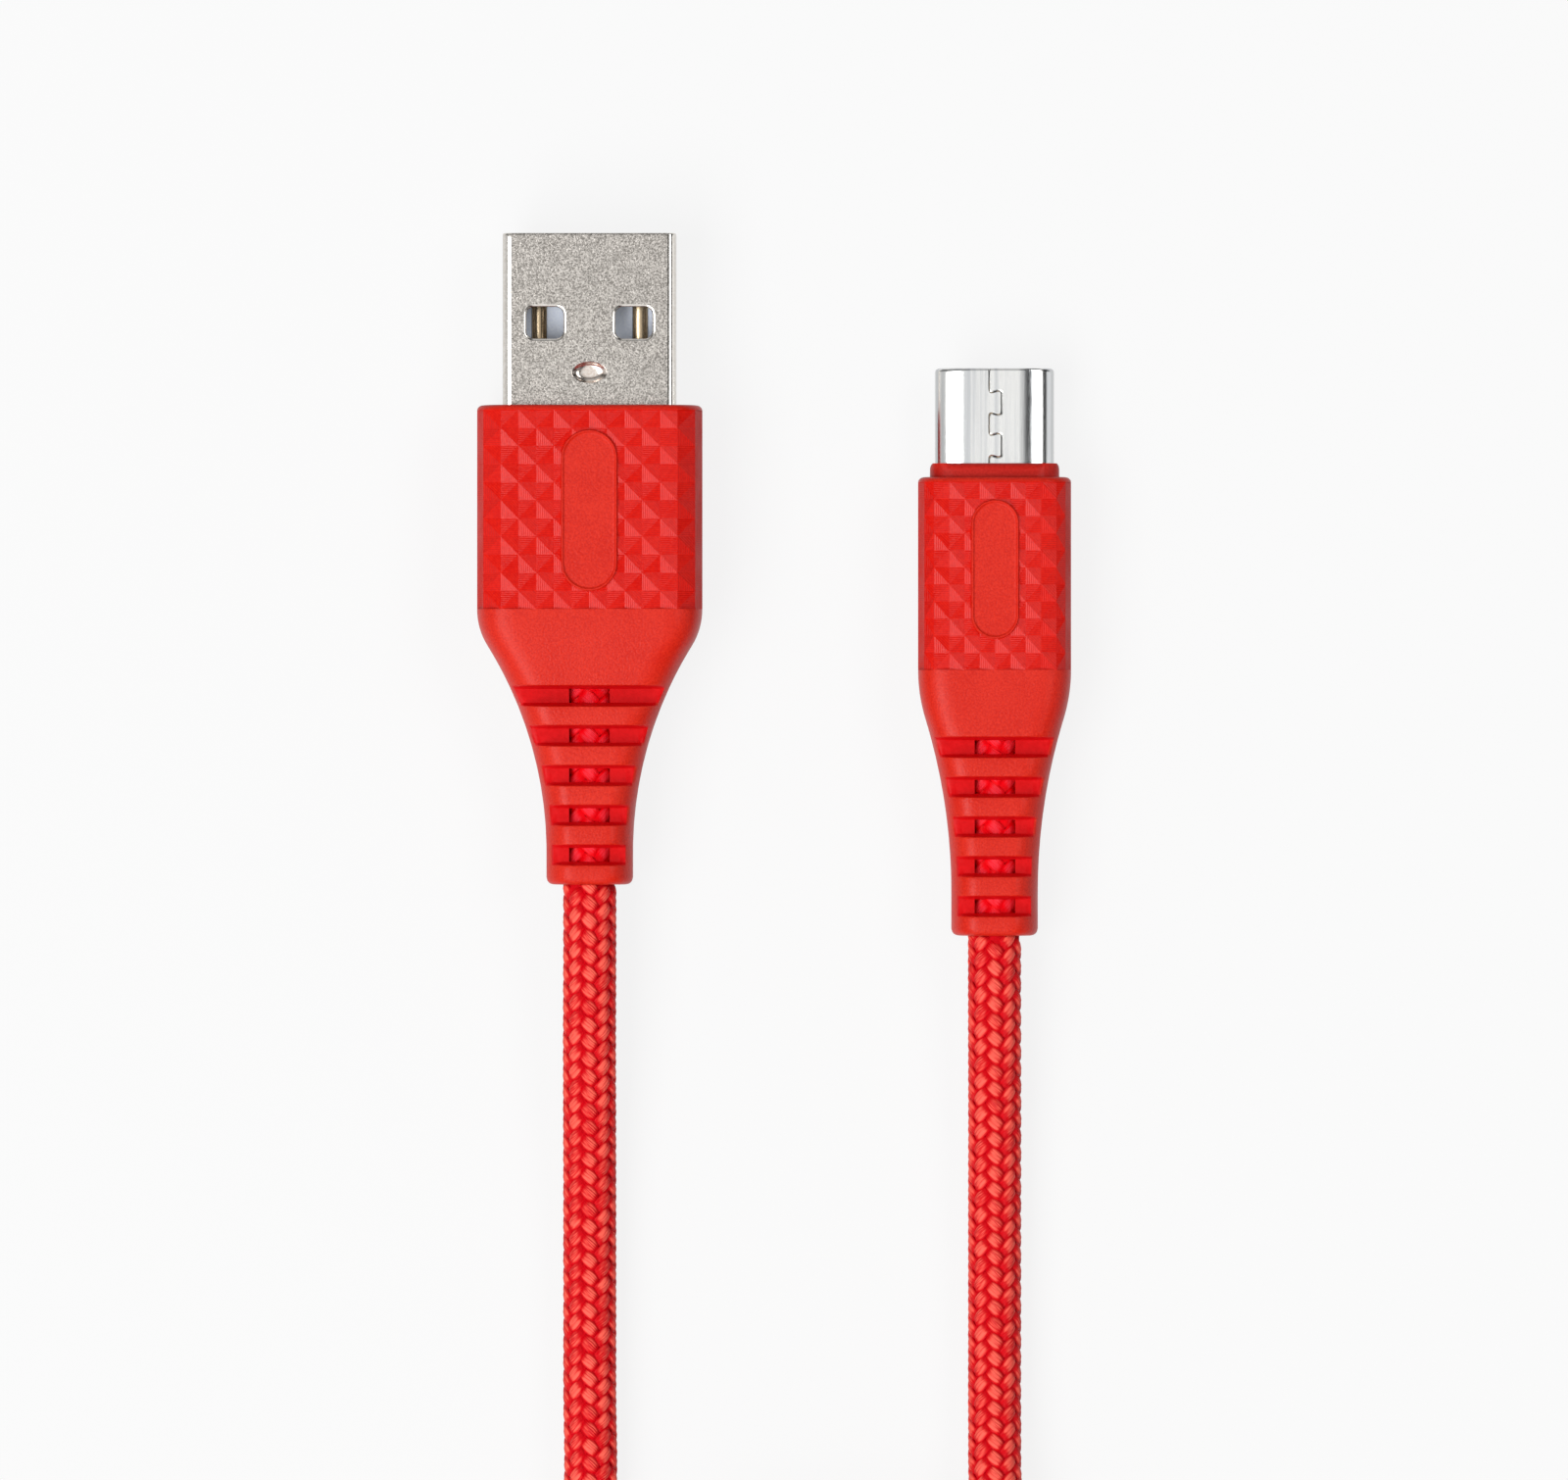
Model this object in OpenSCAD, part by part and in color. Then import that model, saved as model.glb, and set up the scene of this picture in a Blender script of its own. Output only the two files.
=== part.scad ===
// Charging cable: a USB-A plug and a USB-C plug with textured grips, slotted boots and a braided cord.
// Millimetres. X runs from the USB-A plug to the USB-C plug, Y along both plugs to their tips, Z up.
// The origin lies on the table at the middle of the box round the two plugs.
// Each plug is drawn along its own axis, from the end of its boot at y = 0 to its tip.

/* [USB-A shell] */
// Outside width of the shell
usb_a_shell_w = 12; // [11.6:0.1:12.4]
// Outside height of the shell
usb_a_shell_h = 4.5; // [4.2:0.1:4.8]
// Length of the shell in front of the grip
usb_a_shell_reach = 11.9; // [11:0.1:13]
// Length of the shell held inside the grip
usb_a_shell_hold = 7; // [5.5:0.1:8]
// Thickness of the shell's sheet steel
usb_a_sheet = 0.3; // [0.25:0.05:0.4]
// Outside radius of the shell's long edges
usb_a_shell_round = 0.6; // [0.5:0.05:0.8]
// Width of each window
usb_a_window_w = 2.7; // [2:0.1:3]
// Length of each window
usb_a_window_l = 2.3; // [1.8:0.1:2.8]
// Corner radius of each window
usb_a_window_round = 0.45; // [0.2:0.05:0.6]
// Distance between the middles of two windows
usb_a_window_spacing = 6.15; // [5.6:0.05:6.6]
// Distance from the tip to the middle of the windows
usb_a_window_setback = 6.2; // [5.4:0.1:7]
// Width of the dimple pressed into the top
usb_a_dimple_w = 2.1; // [1.6:0.1:2.6]
// Length of the dimple
usb_a_dimple_l = 1.3; // [1:0.1:1.5]
// Depth of the dimple
usb_a_dimple_depth = 0.15; // [0.1:0.01:0.2]
// Distance from the tip to the middle of the dimple
usb_a_dimple_setback = 9.65; // [9:0.05:10]

/* [USB-A inside] */
// Height of the tongue above the shell's lower wall
usb_a_tongue_t = 1.8; // [1.6:0.05:1.95]
// Distance of the tongue's end behind the shell's tip
usb_a_tongue_setback = 0.4; // [0.2:0.05:0.8]
// Length of the carrier's thick rear block
usb_a_block_len = 7.4; // [6.4:0.1:8]
// Distance of the carrier's rear face inside the shell
usb_a_block_setback = 0.3; // [0.2:0.05:0.5]
// Distance of the contacts' grooves behind the tongue's end
usb_a_groove_setback = 0.8; // [0.5:0.05:0.8]
// Width of a contact
usb_a_contact_w = 1; // [0.8:0.05:1.2]
// Thickness of a contact
usb_a_contact_t = 0.3; // [0.25:0.01:0.35]
// Distance of the supply and ground contacts' ends behind the tip
usb_a_power_setback = 1.2; // [0.9:0.1:1.5]
// Distance of the data contacts' ends behind the tip
usb_a_data_setback = 2.2; // [1.9:0.1:2.6]
// Distance of the outer contacts from the middle
usb_a_outer_x = 3.5; // [3.3:0.05:3.6]
// Distance of the inner contacts from the middle
usb_a_inner_x = 1; // [0.9:0.05:1.2]
// Length of the contact tails behind the shell
usb_a_tail_len = 2; // [1.6:0.1:2.4]
// Length of a contact tail left in front of the wire's tip
usb_a_tail_bare = 0.3; // [0.2:0.05:0.5]
// Width of the inner mould
usb_a_mould_w = 10.4; // [9.8:0.1:10.8]
// Height of the inner mould
usb_a_mould_h = 4.6; // [4.2:0.1:5]
// Length of the inner mould behind the shell
usb_a_mould_len = 9.4; // [8.6:0.1:10]
// Wall of the inner mould
usb_a_mould_t = 0.7; // [0.5:0.05:0.8]
// Corner radius of the inner mould
usb_a_mould_round = 1; // [0.6:0.1:1.4]

/* [USB-A over-moulding] */
// Width of the grip
usb_a_grip_w = 15.6; // [14.8:0.1:16.6]
// Thickness of the grip
usb_a_grip_h = 8; // [7.4:0.1:8.6]
// Length of the textured grip
usb_a_grip_len = 14.1; // [13:0.1:15]
// Length of the smooth neck between grip and slots
usb_a_neck_len = 5.3; // [4.8:0.1:6]
// Depth of the rounded sides of the grip
usb_a_grip_side = 2.6; // [2:0.1:3.2]
// Share of the neck's flare that is hollow
usb_a_flare_share = 0.85; // [0.7:0.01:0.9]
// Distance of the flare's start from the boot's end
usb_a_flare_start = 2.2; // [1.5:0.1:3]

/* [USB-C shell] */
// Outside width of the shell
usb_c_shell_w = 8.25; // [8.1:0.05:8.4]
// Outside height of the shell
usb_c_shell_h = 2.4; // [2.35:0.01:2.5]
// Length of the shell in front of the collar
usb_c_shell_reach = 6.6; // [6.3:0.05:6.9]
// Length of the shell held inside collar and grip
usb_c_shell_hold = 6.5; // [5.5:0.1:7]
// Thickness of the shell's sheet steel
usb_c_sheet = 0.25; // [0.2:0.01:0.27]
// Width of the gap along the shell's seam
usb_c_seam = 0.06; // [0.04:0.01:0.1]
// Distance of the seam from the middle
usb_c_seam_x = -0.39; // [-0.6:0.01:-0.2]
// Reach of each dovetail across the seam
usb_c_dovetail_reach = 0.86; // [0.6:0.01:1]
// Width of a dovetail at its root
usb_c_dovetail_root = 1.3; // [1:0.05:1.5]
// Width of a dovetail at its head
usb_c_dovetail_head = 1.75; // [1.6:0.05:2]
// Distance from the tip to the first dovetail
usb_c_dovetail_setback = 2.4; // [2:0.05:2.8]
// Distance between two dovetails
usb_c_dovetail_pitch = 2.95; // [2.6:0.05:3.2]

/* [USB-C inside] */
// Height of the mouth in the nose
usb_c_mouth_h = 0.95; // [0.9:0.01:1]
// Depth of the mouth
usb_c_mouth_depth = 6.2; // [6:0.05:6.4]
// Distance of the nose's end behind the shell's tip
usb_c_nose_setback = 0.15; // [0.1:0.01:0.25]
// Length of the nose
usb_c_nose_len = 8.6; // [8.2:0.1:9]
// Distance of the contacts' slots behind the nose's end
usb_c_slot_setback = 0.45; // [0.35:0.01:0.55]
// Distance between two contact places
usb_c_contact_pitch = 0.5; // [0.48:0.01:0.51]
// Width of a contact
usb_c_contact_w = 0.25; // [0.2:0.01:0.28]
// Thickness of a contact
usb_c_contact_t = 0.15; // [0.12:0.01:0.16]
// Clearance from the middle of the mouth to a contact
usb_c_contact_clear = 0.36; // [0.34:0.01:0.42]
// Distance of a contact's beam inside the nose's face
usb_c_beam_inset = 0.16; // [0.15:0.01:0.18]
// Length of a contact's tail on the circuit board
usb_c_contact_tail = 2.4; // [2:0.1:2.6]
// Distance of a contact's rise in front of the nose's rear face
usb_c_rise_setback = 0.2; // [0.15:0.01:0.25]
// Length of a contact's rise from its tail to its beam
usb_c_rise_len = 0.8; // [0.7:0.05:0.9]
// Distance of a contact's end behind the nose's end
usb_c_contact_setback = 0.7; // [0.6:0.05:0.8]
// Length of a contact's lead-in
usb_c_lead_len = 0.7; // [0.6:0.05:0.8]
// Height of a contact's lead-in
usb_c_lead_h = 0.15; // [0.1:0.01:0.2]
// Length of the flat where a contact touches
usb_c_touch_len = 0.3; // [0.2:0.05:0.4]
// Length of a contact's fall from its beam to the flat
usb_c_fall_len = 1.2; // [1:0.05:1.4]
// Thickness of a side latch
usb_c_latch_t = 0.2; // [0.15:0.01:0.2]
// Height of a side latch
usb_c_latch_h = 0.6; // [0.5:0.05:0.65]
// Gap between the mouth's side and a latch
usb_c_latch_gap = 0.08; // [0.06:0.01:0.1]
// Room behind a latch for it to flex into
usb_c_latch_room = 0.22; // [0.18:0.01:0.26]
// Distance of a latch's end behind the nose's end
usb_c_latch_setback = 1.2; // [1.1:0.05:1.4]
// Length of a latch's tail beside the circuit board
usb_c_latch_tail = 1.5; // [1.2:0.1:1.8]
// Reach of a latch's hook into the mouth
usb_c_hook_reach = 0.25; // [0.15:0.01:0.3]
// Length of the slope on each side of a hook
usb_c_hook_slope = 0.7; // [0.6:0.05:0.8]
// Length of a hook's flat
usb_c_hook_len = 0.4; // [0.3:0.05:0.5]
// Gap between the circuit board and a latch
usb_c_board_gap = 0.155; // [0.1:0.005:0.2]
// Gap between the circuit board and the nose
usb_c_board_setback = 1; // [0.8:0.05:1.2]
// Thickness of the circuit board
usb_c_board_t = 0.8; // [0.7:0.05:0.82]
// Length of the circuit board
usb_c_board_len = 7; // [6.5:0.1:7.2]
// Distance of a wire's pad from the board's middle
usb_c_pad_x = 1.7; // [1.5:0.05:1.9]
// Length of a wire's tip on its pad
usb_c_pad_len = 1.6; // [1.4:0.05:1.8]
// Distance of the resistor from the board's rear edge
usb_c_resistor_y = 3; // [2.6:0.1:3.2]
// Length of the resistor
usb_c_resistor_l = 1; // [0.6:0.1:1.2]
// Width of the resistor
usb_c_resistor_w = 0.5; // [0.3:0.05:0.6]
// Thickness of the resistor
usb_c_resistor_t = 0.35; // [0.25:0.01:0.4]
// Width of the inner mould and its collar
usb_c_mould_w = 8.95; // [8.7:0.05:9.1]
// Height of the inner mould and its collar
usb_c_mould_h = 4.8; // [4.4:0.1:5]
// Length of the inner mould behind the shell
usb_c_mould_len = 8.8; // [8.6:0.1:9.2]
// Side wall of the inner mould
usb_c_mould_side = 0.75; // [0.6:0.05:0.9]
// Upper and lower wall of the inner mould
usb_c_mould_roof = 1; // [0.8:0.05:1.1]
// Corner radius of the inner mould and its collar
usb_c_mould_round = 1.8; // [1.4:0.1:2.2]
// Length of the collar in front of the grip
usb_c_collar_len = 0.95; // [0.7:0.05:1.3]

/* [USB-C over-moulding] */
// Width of the grip
usb_c_grip_w = 10.6; // [10.4:0.1:11.4]
// Thickness of the grip
usb_c_grip_h = 6.4; // [6.2:0.1:7]
// Length of the textured grip
usb_c_grip_len = 13.35; // [12.8:0.05:14]
// Length of the smooth neck between grip and slots
usb_c_neck_len = 4.65; // [4.2:0.05:5.2]
// Depth of the rounded sides of the grip
usb_c_grip_side = 2.4; // [1.8:0.1:2.6]
// Share of the neck's flare that is hollow
usb_c_flare_share = 0.78; // [0.6:0.01:0.9]
// Distance of the flare's start from the boot's end
usb_c_flare_start = 3; // [2:0.1:4]

/* [Strain relief] */
// Width of a boot's end
boot_w = 6; // [5.6:0.1:6.4]
// Thickness of a boot's end
boot_h = 5.8; // [5.6:0.1:6.2]
// Depth of the rounded sides of a boot's end
boot_side = 1.8; // [1.4:0.1:2.4]
// Number of slots on each face of a boot
slot_count = 5; // [3:1:5]
// Distance from slot to slot
slot_pitch = 2.75; // [2.4:0.05:2.8]
// Length of a slot at the surface
slot_mouth = 1.4; // [1.1:0.05:1.5]
// Length of a slot at its floor
slot_floor = 1; // [0.7:0.05:1.05]
// Cover between the cord and a slot's floor
slot_cover = 0.15; // [0.1:0.01:0.3]
// Width of the window in each slot that shows the cord
slot_window_w = 2.8; // [2.2:0.1:3]
// Smooth length left between the last slot and the neck
boot_cover = 0.6; // [0.4:0.05:0.8]
// Radius round a boot's end
boot_round = 0.5; // [0.3:0.05:0.7]
// Radius round a grip's front
grip_round = 0.4; // [0.2:0.05:0.6]

/* [Cable] */
// Diameter of the braided cord
cable_d = 3.7; // [3.5:0.05:3.75]
// Thickness of the braid
braid_t = 0.3; // [0.2:0.02:0.36]
// Length of the braid held in an inner mould
braid_seat = 2; // [1.6:0.1:2.2]
// Length of the jacket left bare past the braid
jacket_bare = 0.7; // [0.5:0.05:0.9]
// Wall of an inner mould round the end of the cord
mould_wall = 2.3; // [2:0.1:2.5]
// Gap between the cord's layers
layer_gap = 0.02; // [0.01:0.01:0.03]
// Diameter of an insulated wire
wire_d = 0.84; // [0.7:0.02:0.86]
// Diameter of a wire's stripped tip
wire_tip_d = 0.4; // [0.3:0.02:0.46]
// Distance between the plugs' axes
plug_spacing = 28.05; // [27:0.05:30]
// Distance of the USB-C boot's end below the USB-A boot's end
boot_step = 3.55; // [2:0.05:5]

/* [Coil] */
// Turns of the coil, both layers together
coil_turns = 6.5; // [5.5:1:6.5]
// Radius of the cord's middle in the innermost turn
coil_inner = 12.1; // [12:0.1:12.6]
// Gap between neighbouring turns
coil_gap = 0.45; // [0.42:0.01:0.5]
// Width of the tie
tie_w = 8; // [6:0.5:10]
// Thickness of the tie
tie_t = 0.8; // [0.6:0.1:0.9]
// Gap between the tie and the coil
tie_gap = 0.3; // [0.2:0.05:0.35]
// Corner radius inside the tie
tie_round = 1.5; // [1:0.1:2]

/* [Fits] */
// Gap round a piece that is moulded over or pressed in
mould_gap = 0.05; // [0.03:0.01:0.08]
// Gap round a contact in its groove
groove_gap = 0.05; // [0.03:0.01:0.06]

/* [Hidden] */
$fn = 48;

red = [0.78, 0.09, 0.07];
steel = [0.75, 0.76, 0.77];
gold = [0.83, 0.66, 0.33];
ivory = [0.9, 0.9, 0.86];
copper = [0.72, 0.45, 0.25];
past = 1;

// Distances along each plug from the end of its boot
slotted_len = slot_count * slot_pitch;
boot_len = slotted_len + boot_cover;
usb_a_neck_end = slotted_len + usb_a_neck_len;
usb_a_front = usb_a_neck_end + usb_a_grip_len;
usb_a_tip = usb_a_front + usb_a_shell_reach;
usb_a_shell_start = usb_a_front - usb_a_shell_hold;
usb_a_mould_start = usb_a_shell_start - usb_a_mould_len;
usb_c_neck_end = slotted_len + usb_c_neck_len;
usb_c_front = usb_c_neck_end + usb_c_grip_len;
usb_c_collar_end = usb_c_front + usb_c_collar_len;
usb_c_tip = usb_c_collar_end + usb_c_shell_reach;
usb_c_shell_start = usb_c_collar_end - usb_c_shell_hold;
usb_c_mould_start = usb_c_shell_start - usb_c_mould_len;

// Where each plug lies: the middle of the end of its boot
usb_a_at = [
    (usb_a_grip_w - usb_c_grip_w) / 4 - plug_spacing / 2,
    (boot_step - usb_a_tip) / 2,
    usb_a_grip_h / 2
];
usb_c_at = [
    usb_a_at.x + plug_spacing,
    usb_a_at.y - boot_step,
    usb_c_grip_h / 2
];

// Inside of the USB-A plug
usb_a_bay_w = usb_a_shell_w - 2 * usb_a_sheet;
usb_a_bay_h = usb_a_shell_h - 2 * usb_a_sheet;
usb_a_tongue_top = usb_a_tongue_t - usb_a_bay_h / 2;
usb_a_contact_x = [-usb_a_outer_x, -usb_a_inner_x, usb_a_inner_x, usb_a_outer_x];
usb_a_tail_start = usb_a_shell_start - usb_a_tail_len;
usb_a_block_start = usb_a_shell_start + usb_a_block_setback;

// Inside of the USB-C plug
usb_c_bay_w = usb_c_shell_w - 2 * usb_c_sheet;
usb_c_bay_h = usb_c_shell_h - 2 * usb_c_sheet;
usb_c_nose_w = usb_c_bay_w - 2 * mould_gap;
usb_c_nose_h = usb_c_bay_h - 2 * mould_gap;
usb_c_nose_end = usb_c_tip - usb_c_nose_setback;
usb_c_nose_start = usb_c_nose_end - usb_c_nose_len;
usb_c_mouth_w = usb_c_bay_w - 2 * (usb_c_latch_gap + usb_c_latch_t + usb_c_latch_room);
usb_c_latch_x = usb_c_mouth_w / 2 + usb_c_latch_gap;
usb_c_board_w = 2 * (usb_c_latch_x - usb_c_board_gap);
usb_c_board_end = usb_c_nose_start - usb_c_board_setback;
usb_c_board_start = usb_c_board_end - usb_c_board_len;
usb_c_latch_start = usb_c_board_end - usb_c_latch_tail;
// Places in each row that carry a contact, counted from the left
usb_c_places_upper = [0, 3, 4, 5, 6, 8, 11];
usb_c_places_lower = [0, 3, 8, 11];

// Inside of the cord
cable_r = cable_d / 2;
jacket_r = cable_r - braid_t - layer_gap;
wire_offset = wire_d / 2 + layer_gap / 2;
jacket_bore_r = wire_offset * sqrt(2) + wire_d / 2 + 1.5 * layer_gap;

// Coil of the unseen length and the two runs of cord that reach it
coil_pitch = cable_d + coil_gap;
coil_outer = coil_inner + coil_pitch * coil_turns / 2;
coil_at = [(usb_a_at.x + usb_c_at.x) / 2, -92, tie_t + tie_gap + cable_r];
rings_per_turn = 24;
coil_sides = 6;
run_sides = 8;
usb_a_run_points = [
    [-12.8, -32, 3.4], [-12.8, -40, 2.3], [-12.8, -48, 1.9], [-12.8, -56, 1.9], [-12.8, -63, 1.9],
    [-13.4, -67, 1.9], [-15.2, -71, 2], [-18.2, -75, 2.2], [-21.4, -79, 2.5], [-23.6, -83, 2.8]
];
usb_c_run_points = [
    [15.3, -36, 2.4], [15.3, -44, 1.9], [15.3, -52, 1.9], [15.3, -58, 2.1], [15.4, -63, 2.7],
    [16.2, -67, 3.5], [18.2, -71, 4.4], [21.4, -75, 5.5], [24.6, -79, 6.4], [26.4, -83, 7]
];

function blend(a, b, t) = a + (b - a) * t;

function unit(v) = v / norm(v);

function limit(t) = min(1, max(0, t));

// Points round a cross-section with a flat top and bottom and elliptical sides
corner_steps = 7;
function section(y, half_w, half_h, side) =
    let (
        quarter = [for (i = [0:corner_steps]) 90 * i / corner_steps],
        inner = half_w - side
    )
    [
        for (t = quarter) [inner + side * cos(t), y, half_h * sin(t)],
        for (t = quarter) [-inner - side * sin(t), y, half_h * cos(t)],
        for (i = [1:corner_steps]) [-inner - side * cos(quarter[i]), y, -half_h * sin(quarter[i])],
        for (i = [0:corner_steps - 1]) [inner + side * sin(quarter[i]), y, -half_h * cos(quarter[i])]
    ];

// Share of the flare's rise that is reached at a distance along the plug
function flare(y, start, end, rise, share) =
    let (
        run = end - start,
        turn = 2 * atan(rise / run),
        reach = run / sin(turn),
        hollow = share * reach,
        crown = reach - hollow,
        knee = start + hollow * sin(turn)
    )
    y <= start ? 0
    : y <= knee ? (hollow - sqrt(hollow * hollow - pow(y - start, 2))) / rise
    : y < end ? 1 - (crown - sqrt(crown * crown - pow(end - y, 2))) / rise
    : 1;

// How far a rounded edge stands back from its face
function rounding(distance, radius) =
    distance >= radius ? 0 : radius - sqrt(radius * radius - pow(radius - distance, 2));

function usb_a_ring(y) =
    let (
        rise = (usb_a_grip_w - boot_w) / 2,
        f = flare(y, usb_a_flare_start, usb_a_neck_end, rise, usb_a_flare_share),
        inset = rounding(y, boot_round) + rounding(usb_a_front - y, grip_round)
    )
    section(
        y,
        blend(boot_w, usb_a_grip_w, f) / 2 - inset,
        blend(boot_h, usb_a_grip_h, f) / 2 - inset,
        blend(boot_side, usb_a_grip_side, f)
    );

function usb_c_ring(y) =
    let (
        rise = (usb_c_grip_w - boot_w) / 2,
        f = flare(y, usb_c_flare_start, usb_c_neck_end, rise, usb_c_flare_share),
        inset = rounding(y, boot_round) + rounding(usb_c_front - y, grip_round)
    )
    section(
        y,
        blend(boot_w, usb_c_grip_w, f) / 2 - inset,
        blend(boot_h, usb_c_grip_h, f) / 2 - inset,
        blend(boot_side, usb_c_grip_side, f)
    );

boot_stations = concat(
    [0, 0.15 * boot_round, 0.5 * boot_round, boot_round],
    [for (i = [1:9]) blend(boot_round, boot_len, i / 9)]
);

function grip_stations(neck_end, front) = concat(
    [for (i = [0:6]) blend(boot_len, neck_end, i / 6)],
    [front - grip_round, front - 0.5 * grip_round, front - 0.15 * grip_round, front]
);

// Rings of points round a route, each square to the route
function tube_rings(route, r, sides) =
    let (last = len(route) - 1)
    [
        for (i = [0:last])
            let (
                along = unit(route[min(i + 1, last)] - route[max(i - 1, 0)]),
                across = unit(cross(along, [0, 0, 1])),
                above = cross(across, along)
            )
            [
                for (k = [0:sides - 1])
                    route[i] + r * (cos(360 * k / sides) * across + sin(360 * k / sides) * above)
            ]
    ];

// Middle of the coiled cord at a share of its turns: in along the lower layer, out along the upper
function coil_point(share) =
    let (
        angle = 180 + 360 * coil_turns * share,
        r = blend(coil_inner, coil_outer, abs(1 - 2 * share)),
        climb = limit((share - 0.5) * 2 * coil_turns + 0.5),
        height = coil_pitch * climb * climb * (3 - 2 * climb)
    )
    coil_at + [r * cos(angle), r * sin(angle), height];

coil_rings = round(coil_turns * rings_per_turn);
coil_turn_points = [for (i = [0:coil_rings]) coil_point(i / coil_rings)];
coil_start = coil_turn_points[0] + [0, cable_d, 0];
coil_end = coil_turn_points[coil_rings] + [0, cable_d, 0];
coil_route = concat([coil_start], coil_turn_points, [coil_end]);
usb_a_run_route = concat(
    [usb_a_at, usb_a_at - [0, cable_d, 0]],
    usb_a_run_points,
    [coil_start + [0, cable_d / 2, 0], coil_start]
);
usb_c_run_route = concat(
    [usb_c_at, usb_c_at - [0, cable_d, 0]],
    usb_c_run_points,
    [coil_end + [0, cable_d / 2, 0], coil_end]
);

function total(values, i = 0) = i < len(values) ? values[i] + total(values, i + 1) : 0;

function route_length(route) = total([for (i = [1:len(route) - 1]) norm(route[i] - route[i - 1])]);

// Least gap of the coil to itself, over pairs of points at least half a turn apart
coil_least_gap = min([
    for (i = [0:coil_rings])
        for (k = [i + rings_per_turn / 2:1:coil_rings])
            norm(coil_turn_points[i] - coil_turn_points[k]) - cable_d
]);
// Least gap of the two runs to the coil, away from where they join it
run_least_gap = min([
    for (p = concat(usb_a_run_points, usb_c_run_points))
        for (i = [rings_per_turn / 2:1:coil_rings - rings_per_turn / 2])
            norm(p - coil_turn_points[i]) - cable_d
]);
free_cord_length = route_length(usb_a_run_route) + route_length(coil_route) + route_length(usb_c_run_route);
echo(coil_least_gap = coil_least_gap, run_least_gap = run_least_gap);
echo(free_cord = free_cord_length, tip_to_tip = free_cord_length + usb_a_tip + usb_c_tip);

// Solid through rings of points that all have the same number of points
module loft(rings) {
    n = len(rings[0]);
    last = (len(rings) - 1) * n;
    polyhedron(
        points = [for (ring = rings) each ring],
        faces = concat(
            [[for (i = [n - 1:-1:0]) i]],
            [
                for (k = [0:n:last - 1])
                    for (i = [0:n - 1])
                        let (a = k + i, b = k + (i + 1) % n)
                        each [[a, b, b + n], [a, b + n, a + n]]
            ],
            [[for (i = [0:n - 1]) last + i]]
        )
    );
}

// Flat outline with round corners
module round_rect(w, h, r) {
    square([w - 2 * r, h], center = true);
    square([w, h - 2 * r], center = true);
    for (x = [-1, 1], y = [-1, 1])
        translate([x * (w / 2 - r), y * (h / 2 - r)])
            circle(r = r);
}

// Flat outline with half-round ends
module stadium(w, h) {
    square([w - h, h], center = true);
    for (x = [-1, 1])
        translate([x * (w - h) / 2, 0])
            circle(d = h);
}

// Outline drawn out along the plug between two distances
module along_plug(start, end) {
    translate([0, start, 0])
        rotate([-90, 0, 0])
            linear_extrude(end - start)
                children();
}

// Side view, given as distance along the plug and height, drawn out across the plug
module across_plug(w) {
    rotate([90, 0, 90])
        linear_extrude(w, center = true)
            children();
}

// Box between two corners
module box(low, high) {
    translate(low)
        cube(high - low);
}

// Slots on the upper face of a boot, each with a window down to the cord
module slots_upper() {
    floor_z = cable_r + slot_cover;
    top_z = boot_h;
    slope = (slot_mouth - slot_floor) / 2 / (boot_h / 2 - floor_z);
    spread = slope * (top_z - floor_z);
    for (i = [1:slot_count]) {
        y = i * slot_pitch - slot_mouth / 2;
        across_plug(2 * usb_a_grip_w)
            polygon([
                [y - slot_floor / 2, floor_z],
                [y + slot_floor / 2, floor_z],
                [y + slot_floor / 2 + spread, top_z],
                [y - slot_floor / 2 - spread, top_z]
            ]);
        box(
            [-slot_window_w / 2, y - slot_floor / 2, cable_r / 2],
            [slot_window_w / 2, y + slot_floor / 2, floor_z + slot_cover]
        );
    }
}

module slots() {
    slots_upper();
    mirror([0, 0, 1])
        slots_upper();
}

// Hole for the cord
module cord_bore(start, end) {
    translate([0, start, 0])
        rotate([-90, 0, 0])
            cylinder(r = cable_r + mould_gap, h = end - start);
}

module sleeve(r, bore_r, end) {
    rotate([-90, 0, 0])
        difference() {
            cylinder(r = r, h = end);
            translate([0, 0, -past])
                cylinder(r = bore_r, h = end + 2 * past);
        }
}

// Insulated wire from the cord's end face to a pad
module wire(x, z, pad_x, pad_z, jacket_end, pad_y) {
    bend = pad_y - jacket_end;
    loft(tube_rings(
        [
            [x, 0, z],
            [x, jacket_end, z],
            [x, jacket_end + 0.15 * bend, z],
            [blend(x, pad_x, 0.2), jacket_end + 0.32 * bend, blend(z, pad_z, 0.2)],
            [blend(x, pad_x, 0.8), jacket_end + 0.68 * bend, blend(z, pad_z, 0.8)],
            [pad_x, jacket_end + 0.85 * bend, pad_z],
            [pad_x, pad_y, pad_z]
        ],
        wire_d / 2,
        run_sides
    ));
}

module at_usb_a() {
    translate(usb_a_at)
        children();
}

module at_usb_c() {
    translate(usb_c_at)
        children();
}

module usb_a_windows() {
    for (x = [-1, 1])
        translate([x * usb_a_window_spacing / 2, usb_a_tip - usb_a_window_setback, -usb_a_shell_h])
            linear_extrude(2 * usb_a_shell_h)
                round_rect(usb_a_window_w, usb_a_window_l, usb_a_window_round);
}

module usb_a_shell() {
    color(steel)
        at_usb_a()
            difference() {
                along_plug(usb_a_shell_start, usb_a_tip)
                    round_rect(usb_a_shell_w, usb_a_shell_h, usb_a_shell_round);
                along_plug(usb_a_shell_start - past, usb_a_tip + past)
                    round_rect(usb_a_bay_w, usb_a_bay_h, usb_a_shell_round - usb_a_sheet);
                usb_a_windows();
                translate([0, usb_a_tip - usb_a_dimple_setback, usb_a_shell_h / 2 - usb_a_dimple_depth])
                    linear_extrude(past)
                        stadium(usb_a_dimple_w, usb_a_dimple_l);
            }
}

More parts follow.
